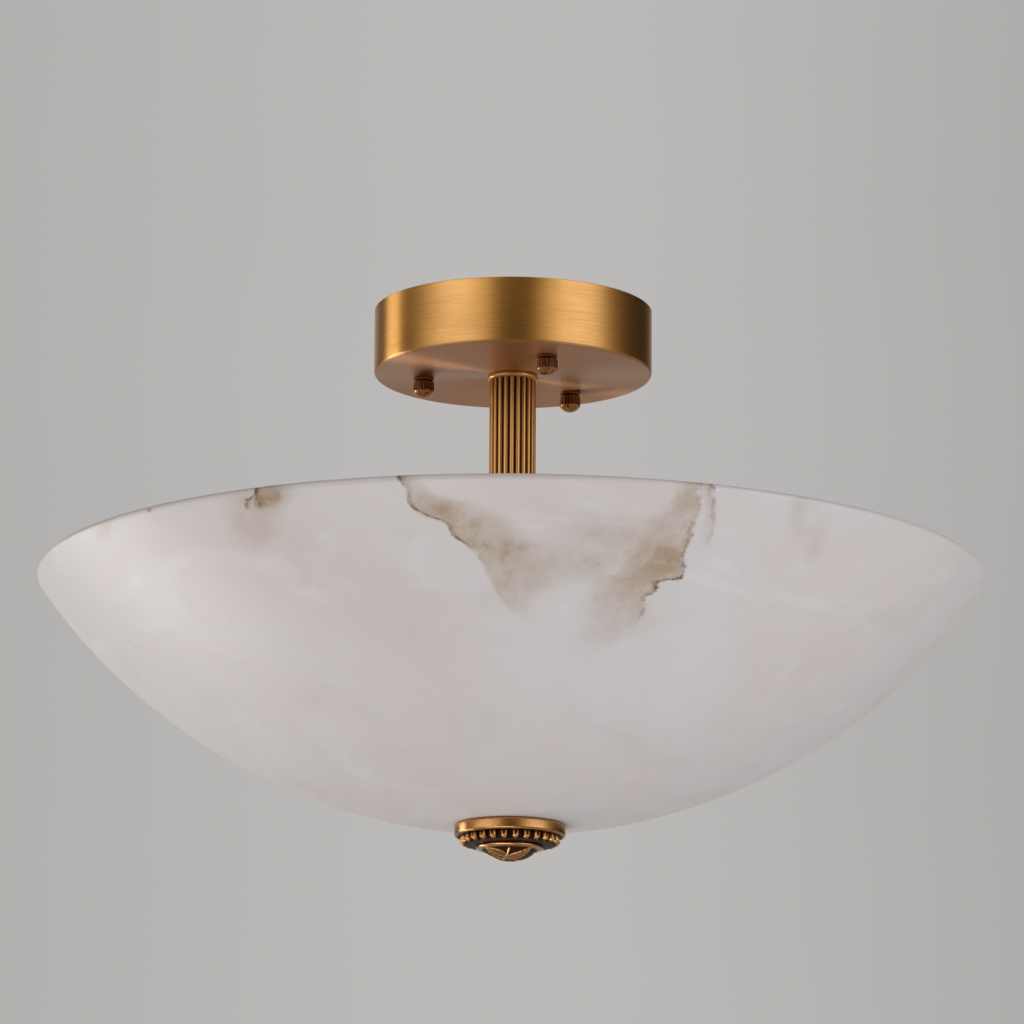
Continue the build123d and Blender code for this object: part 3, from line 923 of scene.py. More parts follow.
def finished(
    name: str, work: bmesh.types.BMesh, material: bpy.types.Material, sharp: float = SHARP
) -> bpy.types.Object:
    """Turns worked geometry into a smooth object in the scene.

    Args:
        name: The object's name.
        work: The geometry, which is used up.
        material: Its only material.
        sharp: Angle above which an edge stays sharp, in degrees.

    Returns:
        The object.
    """
    data = bpy.data.meshes.new(name)
    work.to_mesh(data)
    work.free()
    data.polygons.foreach_set("use_smooth", [True] * len(data.polygons))
    data.set_sharp_from_angle(angle=math.radians(sharp))
    data.materials.append(material)
    piece = bpy.data.objects.new(name, data)
    bpy.context.scene.collection.objects.link(piece)
    return piece


def placed(piece: bpy.types.Object, body: str, slot: str, *nodes: str) -> bpy.types.Object:
    """Puts a piece on its body in place of the nodes that it stands for.

    Args:
        piece: The piece, already where it belongs.
        body: The body that it moves with.
        slot: The record's material slot; not used.
        *nodes: The nodes that it replaces.

    Returns:
        The same piece.
    """
    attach(piece, body)
    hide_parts(*nodes)
    LOG.info("%s on %s replaces %s: %d faces", piece.name, body, nodes, len(piece.data.polygons))
    return piece


@dataclass
class Bowl:
    """The turned alabaster bowl."""

    lip: float = 2.5 * MM
    rim_width: float = 12.4 * MM
    wall: float = 12.0 * MM
    depth: float = 133.0 * MM
    outer_seat: float = 30.0 * MM
    inner_seat: float = 24.0 * MM
    hole: float = 6.0 * MM
    inner_edge: float = 1.2 * MM
    around: int = 288
    outer_steps: int = 72
    inner_steps: int = 60
    lip_steps: int = 8
    flat_steps: int = 3

    def build(self) -> bpy.types.Object:
        """Turns the bowl to the same spheres, lip and seats as its node.

        Returns:
            The bowl.
        """
        low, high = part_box("bowl")
        rim, lip_out = high.z, high.x - self.lip
        lip_up = self.depth - self.lip
        outer = (lip_up**2 + lip_out**2 - self.lip**2) / (2 * (lip_up - self.lip))
        outer_z = rim - self.depth + outer
        inner_r = high.x - self.rim_width
        inner_depth = self.depth - self.wall
        inner = (inner_r**2 + inner_depth**2) / (2 * inner_depth)
        inner_z = rim - inner_depth + inner
        lip_z = rim - self.lip
        lean = -math.atan2(outer_z - lip_z, lip_out)
        seat = -math.acos(self.outer_seat / outer)
        inner_low = -math.acos(self.inner_seat / inner)
        inner_high = -math.acos((inner_r - self.inner_edge) / inner)
        flat = self.flat_steps
        profile = straight((self.hole, low.z), (self.outer_seat, low.z), flat)[:-1]
        profile += arc((0.0, outer_z), outer, seat, lean, self.outer_steps)[:-1]
        profile += arc((lip_out, lip_z), self.lip, lean, QUARTER, self.lip_steps)
        profile += straight((lip_out, rim), (inner_r + self.inner_edge, rim), flat)[1:]
        profile += arc((0.0, inner_z), inner, inner_high, inner_low, self.inner_steps)
        profile += straight((self.inner_seat, profile[-1][1]), (self.hole, profile[-1][1]), flat)[1:]
        turning = Turning("alabaster_bowl", profile, self.around, closed=True)
        return placed(turning.build(Alabaster(rim=rim).material()), "bowl", "alabaster", "bowl")


@dataclass
class Canopy:
    """The brass canopy, a shallow cup with a rounded lower edge."""

    wall: float = 1.2 * MM
    edge: float = 1.6 * MM
    inner_corner: float = 0.3
    rim_edge: float = 0.3 * MM
    hole: float = 5.15 * MM
    around: int = 256

    def build(self) -> bpy.types.Object:
        """Spins the cup.

        Returns:
            The canopy.
        """
        low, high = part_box("canopy")
        outer, inner = high.x, high.x - self.wall
        floor = low.z + self.wall
        bend = (outer - self.edge, low.z + self.edge)
        profile = straight((self.hole, low.z), (bend[0], low.z), steps=24)[:-1]
        profile += arc(bend, self.edge, -QUARTER, 0.0, steps=8)[:-1]
        profile += straight((outer, bend[1]), (outer, high.z - self.rim_edge), steps=8)
        profile += [(outer - self.rim_edge, high.z), (inner, high.z)]
        turned = self.edge * self.inner_corner
        profile += [(inner, floor + self.edge), (inner - turned, floor + turned)]
        profile += straight((inner - self.edge, floor), (self.hole, floor), steps=6)
        brass = AgedBrass(Brushing.ROUND, underside=low.z).material()
        piece = Turning("brass_canopy", profile, self.around, closed=True).build(brass)
        return placed(piece, "fixture", "aged_brass", "canopy")


@dataclass
class CapNuts:
    """The three dome nuts under the canopy, each with a groove and a fluted grip.

    The last three sizes say how worn the brass is on the domes, in the flutes and between
    them, from 0 in a hollow to 1 on a high point.
    """

    circle: float = 48.0 * MM
    turns: tuple[float, float, float] = (172.0, 50.0, 292.0)
    radius: float = 5.5 * MM
    bore: float = 2.05 * MM
    band: float = 1.4 * MM
    groove: float = 0.9 * MM
    groove_depth: float = 0.9 * MM
    grip: float = 5.2 * MM
    soft: float = 0.35 * MM
    flutes: int = 20
    flute_depth: float = 0.22 * MM
    flute_fade: float = 0.6 * MM
    flute_round: float = 0.6
    around: int = 160
    sharp: float = 40.0
    dome_wear: float = 0.62
    flute_wear: float = 0.16
    crest_wear: float = 0.42

    def build(self) -> bpy.types.Object:
        """Makes the three nuts as one piece.

        Returns:
            The nuts.
        """
        low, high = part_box("canopy_nuts")
        work = self._nut(low.z, high.z)
        nut = bpy.data.meshes.new("nut")
        work.to_mesh(nut)
        work.free()
        whole = bmesh.new()
        for degrees in self.turns:
            turn = math.radians(degrees)
            spot = Vector((math.cos(turn), math.sin(turn), 0.0)) * self.circle
            whole.from_mesh(nut)
            bmesh.ops.translate(whole, verts=whole.verts[-len(nut.vertices) :], vec=spot)
        bpy.data.meshes.remove(nut)
        brass = CastBrass("nut_brass", linear(214, 146, 78), linear(138, 80, 38), grainy=0.2)
        piece = finished("brass_canopy_nuts", whole, brass.material(), self.sharp)
        return placed(piece, "fixture", "aged_brass", "canopy_nuts")

    def _nut(self, low: float, high: float) -> bmesh.types.BMesh:
        """Turns one nut round the axis.

        Args:
            low: Level of the dome's lowest point.
            high: Level of the nut's top.

        Returns:
            The nut, with a layer that says how worn each point is.
        """
        radius, soft = self.radius, self.soft
        band = high - self.band
        body = band - self.groove
        dome = body - self.grip
        height = dome - low
        sphere = (radius**2 + height**2) / (2 * height)
        neck = radius - self.groove_depth
        start = -math.asin((sphere - height) / sphere)

        def cut(out: float, z: float, turn: float) -> float:
            """How far the flutes sink a point, which fades at the grip's two ends.

            Args:
                out: Distance from the axis.
                z: Height.
                turn: Place round the axis, in radians.

            Returns:
                The rise, negative in a flute.
            """
            fade = clamped(min(body - z, z - dome) / self.flute_fade)
            wave = (0.5 - 0.5 * math.cos(self.flutes * turn)) ** self.flute_round
            return -self.flute_depth * fade * wave if out > radius - HAIR else 0.0

        profile = [(self.bore, high), (radius - soft, high), (radius, high - soft)]
        profile += [(radius, band + soft), (radius - soft, band), (neck, band), (neck, body)]
        profile += [(radius - soft, body)]
        profile += straight((radius, body - soft), (radius, dome), steps=14)
        profile += arc((0.0, low + sphere), sphere, start, -QUARTER, steps=16)[1:-1]
        profile += [(0.0, low)]
        nut = Turning("nut", profile, self.around, relief=cut).mesh()
        layer = nut.verts.layers.float[RAISED]
        for vert in nut.verts:
            crest = 1.0 + vert[layer] / self.flute_depth
            if vert.co.z < dome + HAIR:
                vert[layer] = self.dome_wear
            elif math.hypot(vert.co.x, vert.co.y) < neck + HAIR:
                vert[layer] = 0.0
            else:
                vert[layer] = self.flute_wear + (self.crest_wear - self.flute_wear) * crest
        return nut


@dataclass
class Stem:
    """The reeded tube between the canopy and the lamp cluster, and the ring at its top."""

    reeds: int = 22
    reed_radius: float = 1.3 * MM
    root_depth: float = 1.15 * MM
    bore: float = 9.5 * MM
    reed_steps: int = 14
    levels: int = 12
    first_reed: float = -92.0
    ring_height: float = 3.2 * MM
    ring_hole: float = 5.15 * MM
    spigot: float = 9.4 * MM
    spigot_bore: float = 7.9 * MM
    ring_around: int = 128

    def build(self) -> list[bpy.types.Object]:
        """Makes the two pieces.

        Returns:
            The ring and the reeded tube.
        """
        return [self._ring(), self._tube()]

    def _ring(self) -> bpy.types.Object:
        """Turns the thin rounded ring between the canopy and the stem, with its spigot.

        Returns:
            The ring.
        """
        low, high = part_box("stem_ring")
        half = self.ring_height / 2
        under = high.z - self.ring_height
        profile = [(self.ring_hole, high.z)]
        profile += arc((high.x - half, high.z - half), half, QUARTER, -QUARTER, steps=12)
        profile += [(self.spigot, under), (self.spigot, low.z)]
        profile += [(self.spigot_bore, low.z), (self.spigot_bore, under), (self.ring_hole, under)]
        bright, brown = linear(236, 184, 108), linear(204, 148, 80)
        brass = AgedBrass(Brushing.NONE, "ring_brass", bright, brown, rough=0.26, sheen=0.0).material()
        piece = Turning("brass_stem_ring", profile, self.ring_around, closed=True).build(brass)
        return placed(piece, "fixture", "aged_brass", "stem_ring")

    def _tube(self) -> bpy.types.Object:
        """Extrudes the reeded section.

        Returns:
            The tube.
        """
        low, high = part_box("stem")
        outer = self._section(high.x)
        inner = [(x * self.bore / math.hypot(x, y), y * self.bore / math.hypot(x, y)) for x, y in outer]
        levels = [low.z + (high.z - low.z) * level / self.levels for level in range(self.levels + 1)]
        walls = [(outer, z) for z in levels] + [(inner, high.z), (inner, low.z)]
        work = bmesh.new()
        rings = [[work.verts.new((x, y, z)) for x, y in outline] for outline, z in walls]
        skinned(work, rings + rings[:1])
        finish = ReededBrass(crest=high.x, root=high.x - self.root_depth)
        piece = finished("brass_stem", work, finish.material())
        return placed(piece, "fixture", "aged_brass", "stem")

    def _section(self, crest: float) -> list[Point]:
        """Draws the outline of the reeds, with the core showing between them.

        Args:
            crest: Radius of the reeds' crests.

        Returns:
            The outline, once round.
        """
        core = crest - self.root_depth
        centre = crest - self.reed_radius
        reach = (core**2 - centre**2 - self.reed_radius**2) / (2 * centre * self.reed_radius)
        span = math.acos(reach)
        outline: list[Point] = []
        for reed in range(self.reeds):
            turn = math.radians(self.first_reed) + TAU * reed / self.reeds
            middle = (centre * math.cos(turn), centre * math.sin(turn))
            outline += arc(middle, self.reed_radius, turn - span, turn + span, self.reed_steps)
        return outline


@dataclass(frozen=True)
class Leaf:
    """A leaf of the finial as seen from below, in millimetres.

    Attributes:
        base: Where it starts, to the right of the axis and behind it.
        tip: Where it ends.
        half_width: Half its width.
        blade: Height of its surface, as a share of the carving's depth like the next three.
        edge: Height of the raised edge over that.
        rib: Height of the midrib.
        vein: Height of the side veins.
        line: Half width of the edge and the midrib, and how far in the edge lies.
        bevel: Width of the slope outside the edge.
        belly: Power of the length in its outline. Under 1, it is widest nearer its base.
        blunt: Power of the width in its outline. Under 1, its ends are blunter.
        vein_run: How far the veins' wave runs from base to tip, in radians.
        vein_lean: How far the wave lags at each millimetre from the midrib, in radians.
    """

    base: Point
    tip: Point
    half_width: float
    blade: float = 0.45
    edge: float = 0.5
    rib: float = 0.45
    vein: float = 0.12
    line: Point = (0.42, 0.5)
    bevel: float = 0.25
    belly: float = 0.7
    blunt: float = 0.6
    vein_run: float = 30.0
    vein_lean: float = 2.2

    def height(self, x: float, y: float) -> float:
        """Relief of the leaf: raised edges, a midrib and faint side veins.

        Args:
            x: Place to the right, in millimetres.
            y: Place towards the back, in millimetres.

        Returns:
            The relief, 0 outside the leaf and up to about 1.4 inside it.
        """
        run, rise = self.tip[0] - self.base[0], self.tip[1] - self.base[1]
        length = math.hypot(run, rise)
        along = ((x - self.base[0]) * run + (y - self.base[1]) * rise) / length**2
        across = abs((x - self.base[0]) * rise - (y - self.base[1]) * run) / length
        if not 0.0 < along < 1.0:
            return 0.0
        inside = self.half_width * math.sin(math.pi * along**self.belly) ** self.blunt - across
        if inside <= 0.0:
            return 0.0
        width, inset = self.line
        lines = self.edge * ridge(inside - inset, width) + self.rib * ridge(across, width)
        wave = math.sin(self.vein_run * along - self.vein_lean * across)
        veins = self.vein * wave * min(1.0, across)
        return (self.blade + lines + veins) * min(1.0, inside / self.bevel)


@dataclass
class Finial:
    """The cast finial: rounded disc, gadrooned border, ring and leafy dome.

    The leaves and the stalk are in millimetres as seen from below, and their heights are
    shares of the carving's depth. The wear is 0 in a hollow and 1 on a high point; on the disc over
    the beads and on the beads' tops its low values are painted shade.

    Attributes:
        leaf_ground: How far the ground is sunk, as a share of the carving's depth.
        ground_edge: Width over which the ground comes up to the ring.
        hollow_reach: Share of a bead that its hollow goes down.
        hollow_round: Power by which the hollow fades on the way down.
        disc_shadow: Width of the strip of the disc above the beads that is painted dark as shadow.
        bead_lit: Share of a bead's height, from its top, over which painted shade fades out; below it no
            shade is painted.
        bead_full: Share of its rise from which it is fully worn.
        ring_fade: Width over which the ring goes from dark to worn.
    """

    disc: float = 6.0 * MM
    disc_turn: float = 1.2 * MM
    soft: float = 0.3 * MM
    recess: float = 24.5 * MM
    recess_depth: float = 0.8 * MM
    beads: int = 26
    bead_half: float = 2.0 * MM
    bead_height: float = 4.4 * MM
    bead_seat: float = 23.2 * MM
    bead_rise: float = 3.5 * MM
    bead_hollow: float = 0.5
    hollow_half: float = 0.8 * MM
    hollow_reach: float = 0.72
    hollow_round: float = 0.7
    cove: float = 0.6 * MM
    ring_radius: float = 17.7 * MM
    ring_height: float = 1.8 * MM
    dome_radius: float = 15.5 * MM
    dome_height: float = 5.8 * MM
    leaf_rise: float = 0.78 * MM
    leaf_ground: float = 0.8
    ground_edge: float = 1.2 * MM
    leaves: tuple[Leaf, ...] = (
        Leaf((-1.4, -6.6), (-12.4, -8.4), 4.6),
        Leaf((-2.3, -4.6), (11.8, -10.4), 3.3),
    )
    stalk: tuple[Point, Point] = ((-4.0, 1.2), (-0.2, -13.4))
    stalk_half: float = 0.6
    stalk_height: float = 1.1
    thread: float = 5.05 * MM
    thread_depth: float = 13.6 * MM
    around: int = 576
    sharp: float = 50.0
    disc_wear: float = 0.52
    disc_shadow: float = 4.4 * MM
    # Share of brightness left at the beads' tops, darkened as painted shade, with patina, under the disc.
    bead_top_shade: float = 0.35
    bead_lit: float = 0.6
    bead_full: float = 0.8
    cove_wear: float = 0.08
    ring_wear: float = 0.1
    ring_fade: float = 2.4 * MM
    dome_wear: float = 0.62
    dome_contrast: float = 0.72
    dome_most: float = 0.85

    def build(self) -> bpy.types.Object:
        """Turns the finial and raises its beads and leaves.

        Returns:
            The finial.
        """
        low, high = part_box("finial")
        top, edge = high.z, high.x
        disc_low = top - self.disc
        bead_low = disc_low - self.bead_height
        ring_high = bead_low - self.cove
        ring_low = ring_high - self.ring_height
        sphere = (self.dome_radius**2 + self.dome_height**2) / (2 * self.dome_height)
        seat = top - self.recess_depth
        bend = (edge - self.disc_turn, disc_low + self.disc_turn)
        half_ring = self.ring_height / 2
        ring_out = self.ring_radius - half_ring
        start = -math.acos(self.dome_radius / sphere)
        profile = [(0.0, top - self.thread_depth), (self.thread, top - self.thread_depth)]
        profile += straight((self.thread, seat), (self.recess, seat), steps=4)
        profile += [(self.recess, top), (edge - self.soft, top)]
        profile += straight((edge, top - self.soft), (edge, bend[1]), steps=6)
        profile += arc(bend, self.disc_turn, 0.0, -QUARTER, steps=8)[1:]
        profile += straight((bend[0], disc_low), (self.bead_seat, disc_low), steps=8)[1:]
        profile += straight((self.bead_seat, disc_low), (self.bead_seat, bead_low), steps=30)[1:]
        profile += straight((self.bead_seat, bead_low), (ring_out, ring_high), steps=10)[1:]
        profile += arc((ring_out, ring_high - half_ring), half_ring, QUARTER, -QUARTER, steps=14)[1:]
        profile += [(self.dome_radius, ring_low)]
        profile += arc((0.0, low.z + sphere), sphere, start, -QUARTER, steps=64)[1:-1]
        profile += [(0.0, low.z)]

        def relief(radius: float, z: float, turn: float) -> float:
            """Raises the beads on the border and the leaves on the dome.

            Args:
                radius: Distance from the axis.
                z: Height.
                turn: Place round the axis, in radians.

            Returns:
                The rise.
            """
            if abs(radius - self.bead_seat) < HAIR and z < disc_low:
                return self._bead(disc_low - z, turn)
            return self._spray(radius, turn) if radius < self.dome_radius and z < ring_low else 0.0

        work = Turning("brass_finial", profile, self.around, relief=relief).mesh()
        self._wear_and_shade(work, (disc_low, bead_low, ring_high, ring_low))
        piece = finished("brass_finial", work, CastBrass().material(), self.sharp)
        return placed(piece, "finial", "antique_brass", "finial")

    def _bead(self, down: float, turn: float) -> float:
        """Height of the gadroons: long U shapes, hollow at the top.

        Args:
            down: Distance under the disc.
            turn: Place round the axis, in radians.

        Returns:
            The height, 0 between the gadroons.
        """
        pitch = TAU / self.beads
        across = (((turn / pitch) + 0.5) % 1.0 - 0.5) * pitch * (self.bead_seat + self.bead_half)
        below = max(0.0, down - (self.bead_height - self.bead_half))
        far = math.hypot(across, below) / self.bead_half
        if far >= 1.0:
            return 0.0
        upper = max(0.0, 1.0 - down / (self.hollow_reach * self.bead_height))
        hollow = self.bead_hollow * ridge(across, self.hollow_half) * upper**self.hollow_round
        return self.bead_rise * max(0.0, math.sqrt(1.0 - far * far) - hollow)

    def _spray(self, radius: float, turn: float) -> float:
        """Relief of the dome: a stalk with two leaves, twice round, on a sunk ground.

        Args:
            radius: Distance from the axis.
            turn: Place round the axis, in radians.

        Returns:
            The height, which is negative on the ground.
        """
        height = 0.0
        (first_x, first_y), (last_x, last_y) = self.stalk
        run, rise = last_x - first_x, last_y - first_y
        for side in (1.0, -1.0):
            x, y = side * radius * math.cos(turn) / MM, side * radius * math.sin(turn) / MM
            along = clamped(((x - first_x) * run + (y - first_y) * rise) / (run**2 + rise**2))
            far = math.hypot(x - first_x - along * run, y - first_y - along * rise)
            leaves = [leaf.height(x, y) for leaf in self.leaves]
            height = max(height, self.stalk_height * ridge(far, self.stalk_half), *leaves)
        ground = min(1.0, (self.dome_radius - radius) / self.ground_edge)
        return self.leaf_rise * (height - self.leaf_ground) * ground

    def _wear_and_shade(self, work: bmesh.types.BMesh, levels: tuple[float, float, float, float]) -> None:
        """Turns each point's rise into its wear, and paints shade on the disc over the beads and on the
        beads' tops.

        Args:
            work: The mesh, whose layer is changed.
            levels: Levels of the disc's underside, the beads' foot and the ring's two faces.
        """
        disc_low, bead_low, ring_high, ring_low = levels
        layer = work.verts.layers.float[RAISED]
        for vert in work.verts:
            radius, z = math.hypot(vert.co.x, vert.co.y), vert.co.z
            if z > disc_low - HAIR:
                # Painted shadow: the disc's underside over the beads gets the darkest value.
                shown = radius > self.bead_seat + self.disc_shadow or z > disc_low + HAIR
                vert[layer] = self.disc_wear if shown else 0.0
            elif z > bead_low - HAIR:
                # Painted shade, with patina: each bead darkens towards its top under the disc.
                lit = min(1.0, (disc_low - z) / (self.bead_lit * self.bead_height))
                lit = self.bead_top_shade + (1.0 - self.bead_top_shade) * lit
                vert[layer] = lit * min(1.0, vert[layer] / (self.bead_full * self.bead_rise))
            elif z > ring_high:
                vert[layer] = self.cove_wear
            elif z > ring_low + HAIR:
                vert[layer] = clamped((radius - self.dome_radius) / self.ring_fade, self.ring_wear)
            else:
                bright_share = self.dome_wear + self.dome_contrast * vert[layer] / self.leaf_rise
                vert[layer] = clamped(bright_share, high=self.dome_most)


@dataclass
class Fittings:
    """The pieces kept as they are in the frame, each given its own finish."""

    lamps: int = 3
    stud_pitch: float = 0.7 * MM
    rod_pitch: float = 1.0 * MM

    def dress(self, nodes: Mapping[str, bpy.types.Object]) -> None:
        """Gives every node that no piece stands for its material.

        Args:
            nodes: The frame's nodes by name.
        """
        made: dict[Finish, bpy.types.Material] = {}
        for name, finish in self._finishes().items():
            if finish not in made:
                made[finish] = finish.material()
            materials = nodes[name].data.materials
            materials.clear()
            materials.append(made[finish])
            LOG.info("%s finished as %s", name, finish.name)

    def _finishes(self) -> dict[str, Finish]:
        """Chooses the finishes.

        Returns:
            The finish of each node by its name.
        """
        steel = Plain("zinc_steel", linear(198, 200, 204), linear(168, 170, 172), 0.3, 1.0)
        brass = Plain("plain_brass", linear(216, 176, 108), linear(186, 140, 76), 0.26, 1.0)
        porcelain = Plain("porcelain", linear(236, 233, 224), linear(224, 220, 208), 0.18, coat=0.6)
        cap = Plain("lamp_cap_metal", linear(206, 206, 206), linear(176, 176, 178), 0.28, 1.0)
        opal = Plain("lamp_opal", linear(238, 238, 233), linear(228, 228, 222), 0.4, subsurface=0.4)
        finishes: dict[str, Finish] = {
            "ceiling_plate": steel,
            "rod_nuts": steel,
            "rod_washers": steel,
            "stop_disc": steel,
            "plate_studs": Threaded(self.stud_pitch, "stud_steel"),
            "centre_tube": Threaded(self.rod_pitch),
            "holder_nipples": Plain("nipple_steel", linear(190, 192, 196), linear(150, 150, 152), 0.34, 1.0),
            "earth_screw": brass,
            "cluster_body": brass,
            "cluster_cover": brass,
            "terminal_block": Plain("terminal_plastic", linear(226, 222, 210), linear(210, 204, 190), 0.45),
            "upper_gasket": Plain("black_rubber", linear(40, 40, 41), linear(28, 28, 28), 0.7),
            "lower_gasket": Plain("gasket_rubber", linear(42, 42, 42), linear(30, 30, 30), 0.7),
        }
        for lamp in range(1, self.lamps + 1):
            finishes[f"lampholder_{lamp}"] = porcelain
            finishes[f"screw_shell_{lamp}"] = brass
            finishes[f"centre_contact_{lamp}"] = brass
            finishes[f"lamp_cap_{lamp}"] = cap
            finishes[f"lamp_globe_{lamp}"] = opal
        return finishes


@dataclass
class SoftLight:
    """One soft lamp of the studio.

    Attributes:
        name: Its name.
        turn: Its place round the light, in degrees to the right of the photographed side.
        height: Its height.
        away: Its distance from the axis.
        width: Its width.
        tall: Its height from edge to edge.
        power: Its power, in watts.
        colour: Its colour.
        mirrored: True where brass shows the lamp itself, besides the room's own brightness.
    """

    name: str
    turn: float
    height: float
    away: float
    width: float
    tall: float
    power: float
    colour: Colour
    mirrored: bool = False

    def build(self, aim: Vector) -> None:
        """Hangs the lamp and points it.

        Args:
            aim: The point that it is turned to.
        """
        data = bpy.data.lights.new(self.name, "AREA")
        data.shape = "RECTANGLE"
        data.size = self.width
        data.size_y = self.tall
        data.energy = self.power
        data.color = self.colour
        lamp = bpy.data.objects.new(self.name, data)
        turn = math.radians(self.turn)
        lamp.location = (self.away * math.sin(turn), -self.away * math.cos(turn), self.height)
        lamp.rotation_euler = (aim - lamp.location).to_track_quat("-Z", "Y").to_euler()
        lamp.visible_camera = False
        lamp.visible_glossy = self.mirrored
        bpy.context.scene.collection.objects.link(lamp)


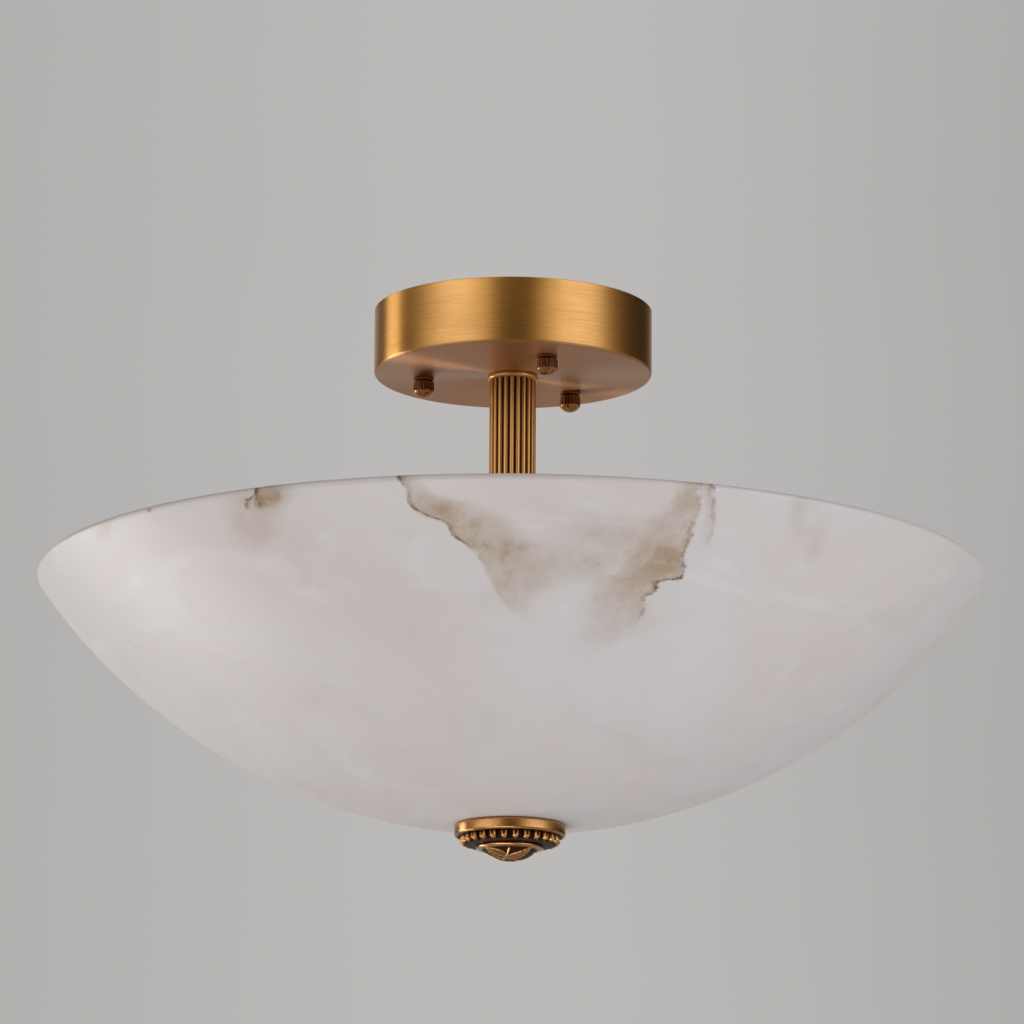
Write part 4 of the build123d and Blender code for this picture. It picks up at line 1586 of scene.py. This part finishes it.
@dataclass
class Studio:
    """Plain floor, backdrop, ambient light and soft lamps.

    Attributes:
        floor_level: Height of the floor.
        floor_half: Half its width.
        backdrop: Colours of the backdrop as (share of the way across, colour).
        backdrop_left: Sideways part of the direction where the backdrop starts.
        backdrop_right: Sideways part of the direction where it ends.
        smoke: How far its colours wander.
        room: Brightness of the room as brass shows it, as (degrees to the right, strength).
        shade: Colour of the dark parts of the room.
        shade_until: Strength at which that colour is gone.
        softbox: Colour of its brightest parts.
        softbox_from: Strength at which that colour is full.
        ambient: Colour of the light on everything else.
        ambient_strength: Its strength.
        lamps: The lamps.
        aim: Where they point, to the right of the axis and in height.
    """

    floor_level: float = -2.4
    floor_half: float = 14.0
    backdrop: tuple[tuple[float, Colour], ...] = (
        (0.0, linear(178, 177, 175)),
        (0.28, linear(184, 183, 181)),
        (0.42, linear(188, 186, 184)),
        (0.54, linear(188, 186, 184)),
        (0.75, linear(182, 181, 179)),
        (1.0, linear(173, 172, 170)),
    )
    backdrop_left: float = -0.088
    backdrop_right: float = 0.092
    smoke: float = 0.02
    room: tuple[Point, ...] = (
        (-180, 0.5), (-162, 0.45), (-150, 0.22), (-136, 0.1), (-104, 0.14), (-92, 0.36), (-76, 0.95),
        (-62, 1.6), (-49, 1.82), (-36, 1.5), (-23, 0.92), (-14, 0.34), (-7, 0.13), (10, 0.12), (18, 0.3),
        (27, 0.8), (38, 1.36), (52, 1.84), (66, 1.72), (78, 1.15), (90, 0.46), (102, 0.18), (116, 0.06),
        (138, 0.03), (152, 0.1), (165, 0.4), (180, 0.5),
    )
    shade: Colour = (1.0, 0.78, 0.6)
    shade_until: float = 0.9
    softbox: Colour = (0.98, 1.07, 1.4)
    softbox_from: float = 1.9
    ambient: Colour = (0.96, 0.98, 1.0)
    ambient_strength: float = 0.5
    lamps: tuple[SoftLight, ...] = (
        SoftLight("left_front", -42.0, -1.3, 2.3, 2.5, 1.8, 4.0, (0.92, 0.97, 1.0)),
        SoftLight("left_back", -115.3, -0.8, 2.0, 0.75, 2.4, 22.0, (0.98, 1.0, 1.0), mirrored=True),
        SoftLight("right_front", 70.0, -0.6, 2.3, 2.4, 1.7, 28.0, (0.94, 0.98, 1.0)),
        SoftLight("low_front", -24.0, -1.9, 1.9, 2.4, 1.0, 23.5, (1.0, 0.975, 0.97), mirrored=True),
    )
    aim: Point = (0.0, -0.2)

    def build(self) -> None:
        """Makes the floor, the world and the lamps."""
        self._floor()
        self._world()
        for lamp in self.lamps:
            lamp.build(Vector((self.aim[0], 0.0, self.aim[1])))
        LOG.info("studio has %d lamps", len(self.lamps))

    def _floor(self) -> None:
        """Lays the pale floor."""
        half = self.floor_half
        work = bmesh.new()
        corners = [(-half, -half), (half, -half), (half, half), (-half, half)]
        work.faces.new([work.verts.new((x, y, self.floor_level)) for x, y in corners])
        pale = Plain("pale_floor", linear(200, 200, 198), linear(192, 192, 190), 0.85, lumps=60.0)
        finished("studio_floor", work, pale.material(), 30.0)

    def _world(self) -> None:
        """Shows the backdrop to the camera and a room with two bright sides to brass.

        Everything else is lit by a plain even light.
        """
        world = bpy.data.worlds.new("studio")
        bpy.context.scene.world = world
        world.use_nodes = True
        recipe = Recipe(world.node_tree)
        direction = recipe.node("ShaderNodeTexCoord", output="Generated")
        right, away, _ = recipe.axes(direction)
        side = right + (recipe.noise(direction, 14.0, detail=2.0) - 0.5) * self.smoke
        share = (side - self.backdrop_left) / (self.backdrop_right - self.backdrop_left)
        backdrop = recipe.node("ShaderNodeValToRGB", {"stops": self.backdrop}, {0: share}, "Color")
        camera = recipe.node("ShaderNodeLightPath", output="Is Camera Ray")
        mirror = Signal(recipe, camera.socket.node.outputs["Is Glossy Ray"])
        plain = tuple(channel * self.ambient_strength for channel in self.ambient)
        turn = recipe.maths("ARCTAN2", right, away * -1.0) * (360.0 / TAU)
        room = recipe.curve(turn, self.room, (-180.0, 180.0), (0.0, 2.0))
        lit = recipe.step(room, 0.0, self.shade_until)
        full = recipe.step(room, self.shade_until, self.softbox_from)
        tint = recipe.blend(full, recipe.blend(lit, self.shade, (1.0, 1.0, 1.0)), self.softbox)
        colour = recipe.blend(mirror, plain, tint)
        colour = recipe.blend(camera, colour, backdrop)
        strength = 1.0 + mirror * (room - 1.0)
        shader = recipe.node("ShaderNodeBackground", inputs={"Color": colour, "Strength": strength})
        recipe.node_output("ShaderNodeOutputWorld", shader)


@dataclass
class Viewpoint:
    """The photograph's camera, in front of the light and below it, looking up at it.

    Attributes:
        away: Its distance from the axis.
        height: Its height.
        rise: How far it looks up, in degrees.
        lean: How far it is rolled, in degrees.
        lens: Focal length of its lens, in millimetres.
        sensor: Width of its sensor, in millimetres.
        farthest: Distance up to which it sees.
    """

    away: float = 3.01
    height: float = -0.7892
    rise: float = 12.727
    lean: float = 0.38
    lens: float = 204.6
    sensor: float = 36.0
    farthest: float = 60.0

    def build(self) -> None:
        """Makes the camera and gives it to the scene."""
        data = bpy.data.cameras.new("view")
        data.lens = self.lens
        data.sensor_width = self.sensor
        data.clip_end = self.farthest
        camera = bpy.data.objects.new("view", data)
        tilt = Matrix.Rotation(math.radians(90.0 + self.rise), 4, "X")
        roll = Matrix.Rotation(math.radians(self.lean), 4, "Z")
        camera.matrix_world = Matrix.Translation((0.0, -self.away, self.height)) @ tilt @ roll
        bpy.context.scene.collection.objects.link(camera)
        bpy.context.scene.camera = camera
        LOG.info("camera stands %.2f m away", self.away)


def main() -> None:
    """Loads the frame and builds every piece."""
    logging.basicConfig(level=logging.INFO, format="%(name)s: %(message)s")
    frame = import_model()
    bpy.context.scene.view_settings.view_transform = "Standard"
    Viewpoint().build()
    Studio().build()
    Bowl().build()
    Canopy().build()
    CapNuts().build()
    Stem().build()
    Finial().build()
    Fittings().dress(frame["nodes"])


if __name__ == "__main__":
    main()
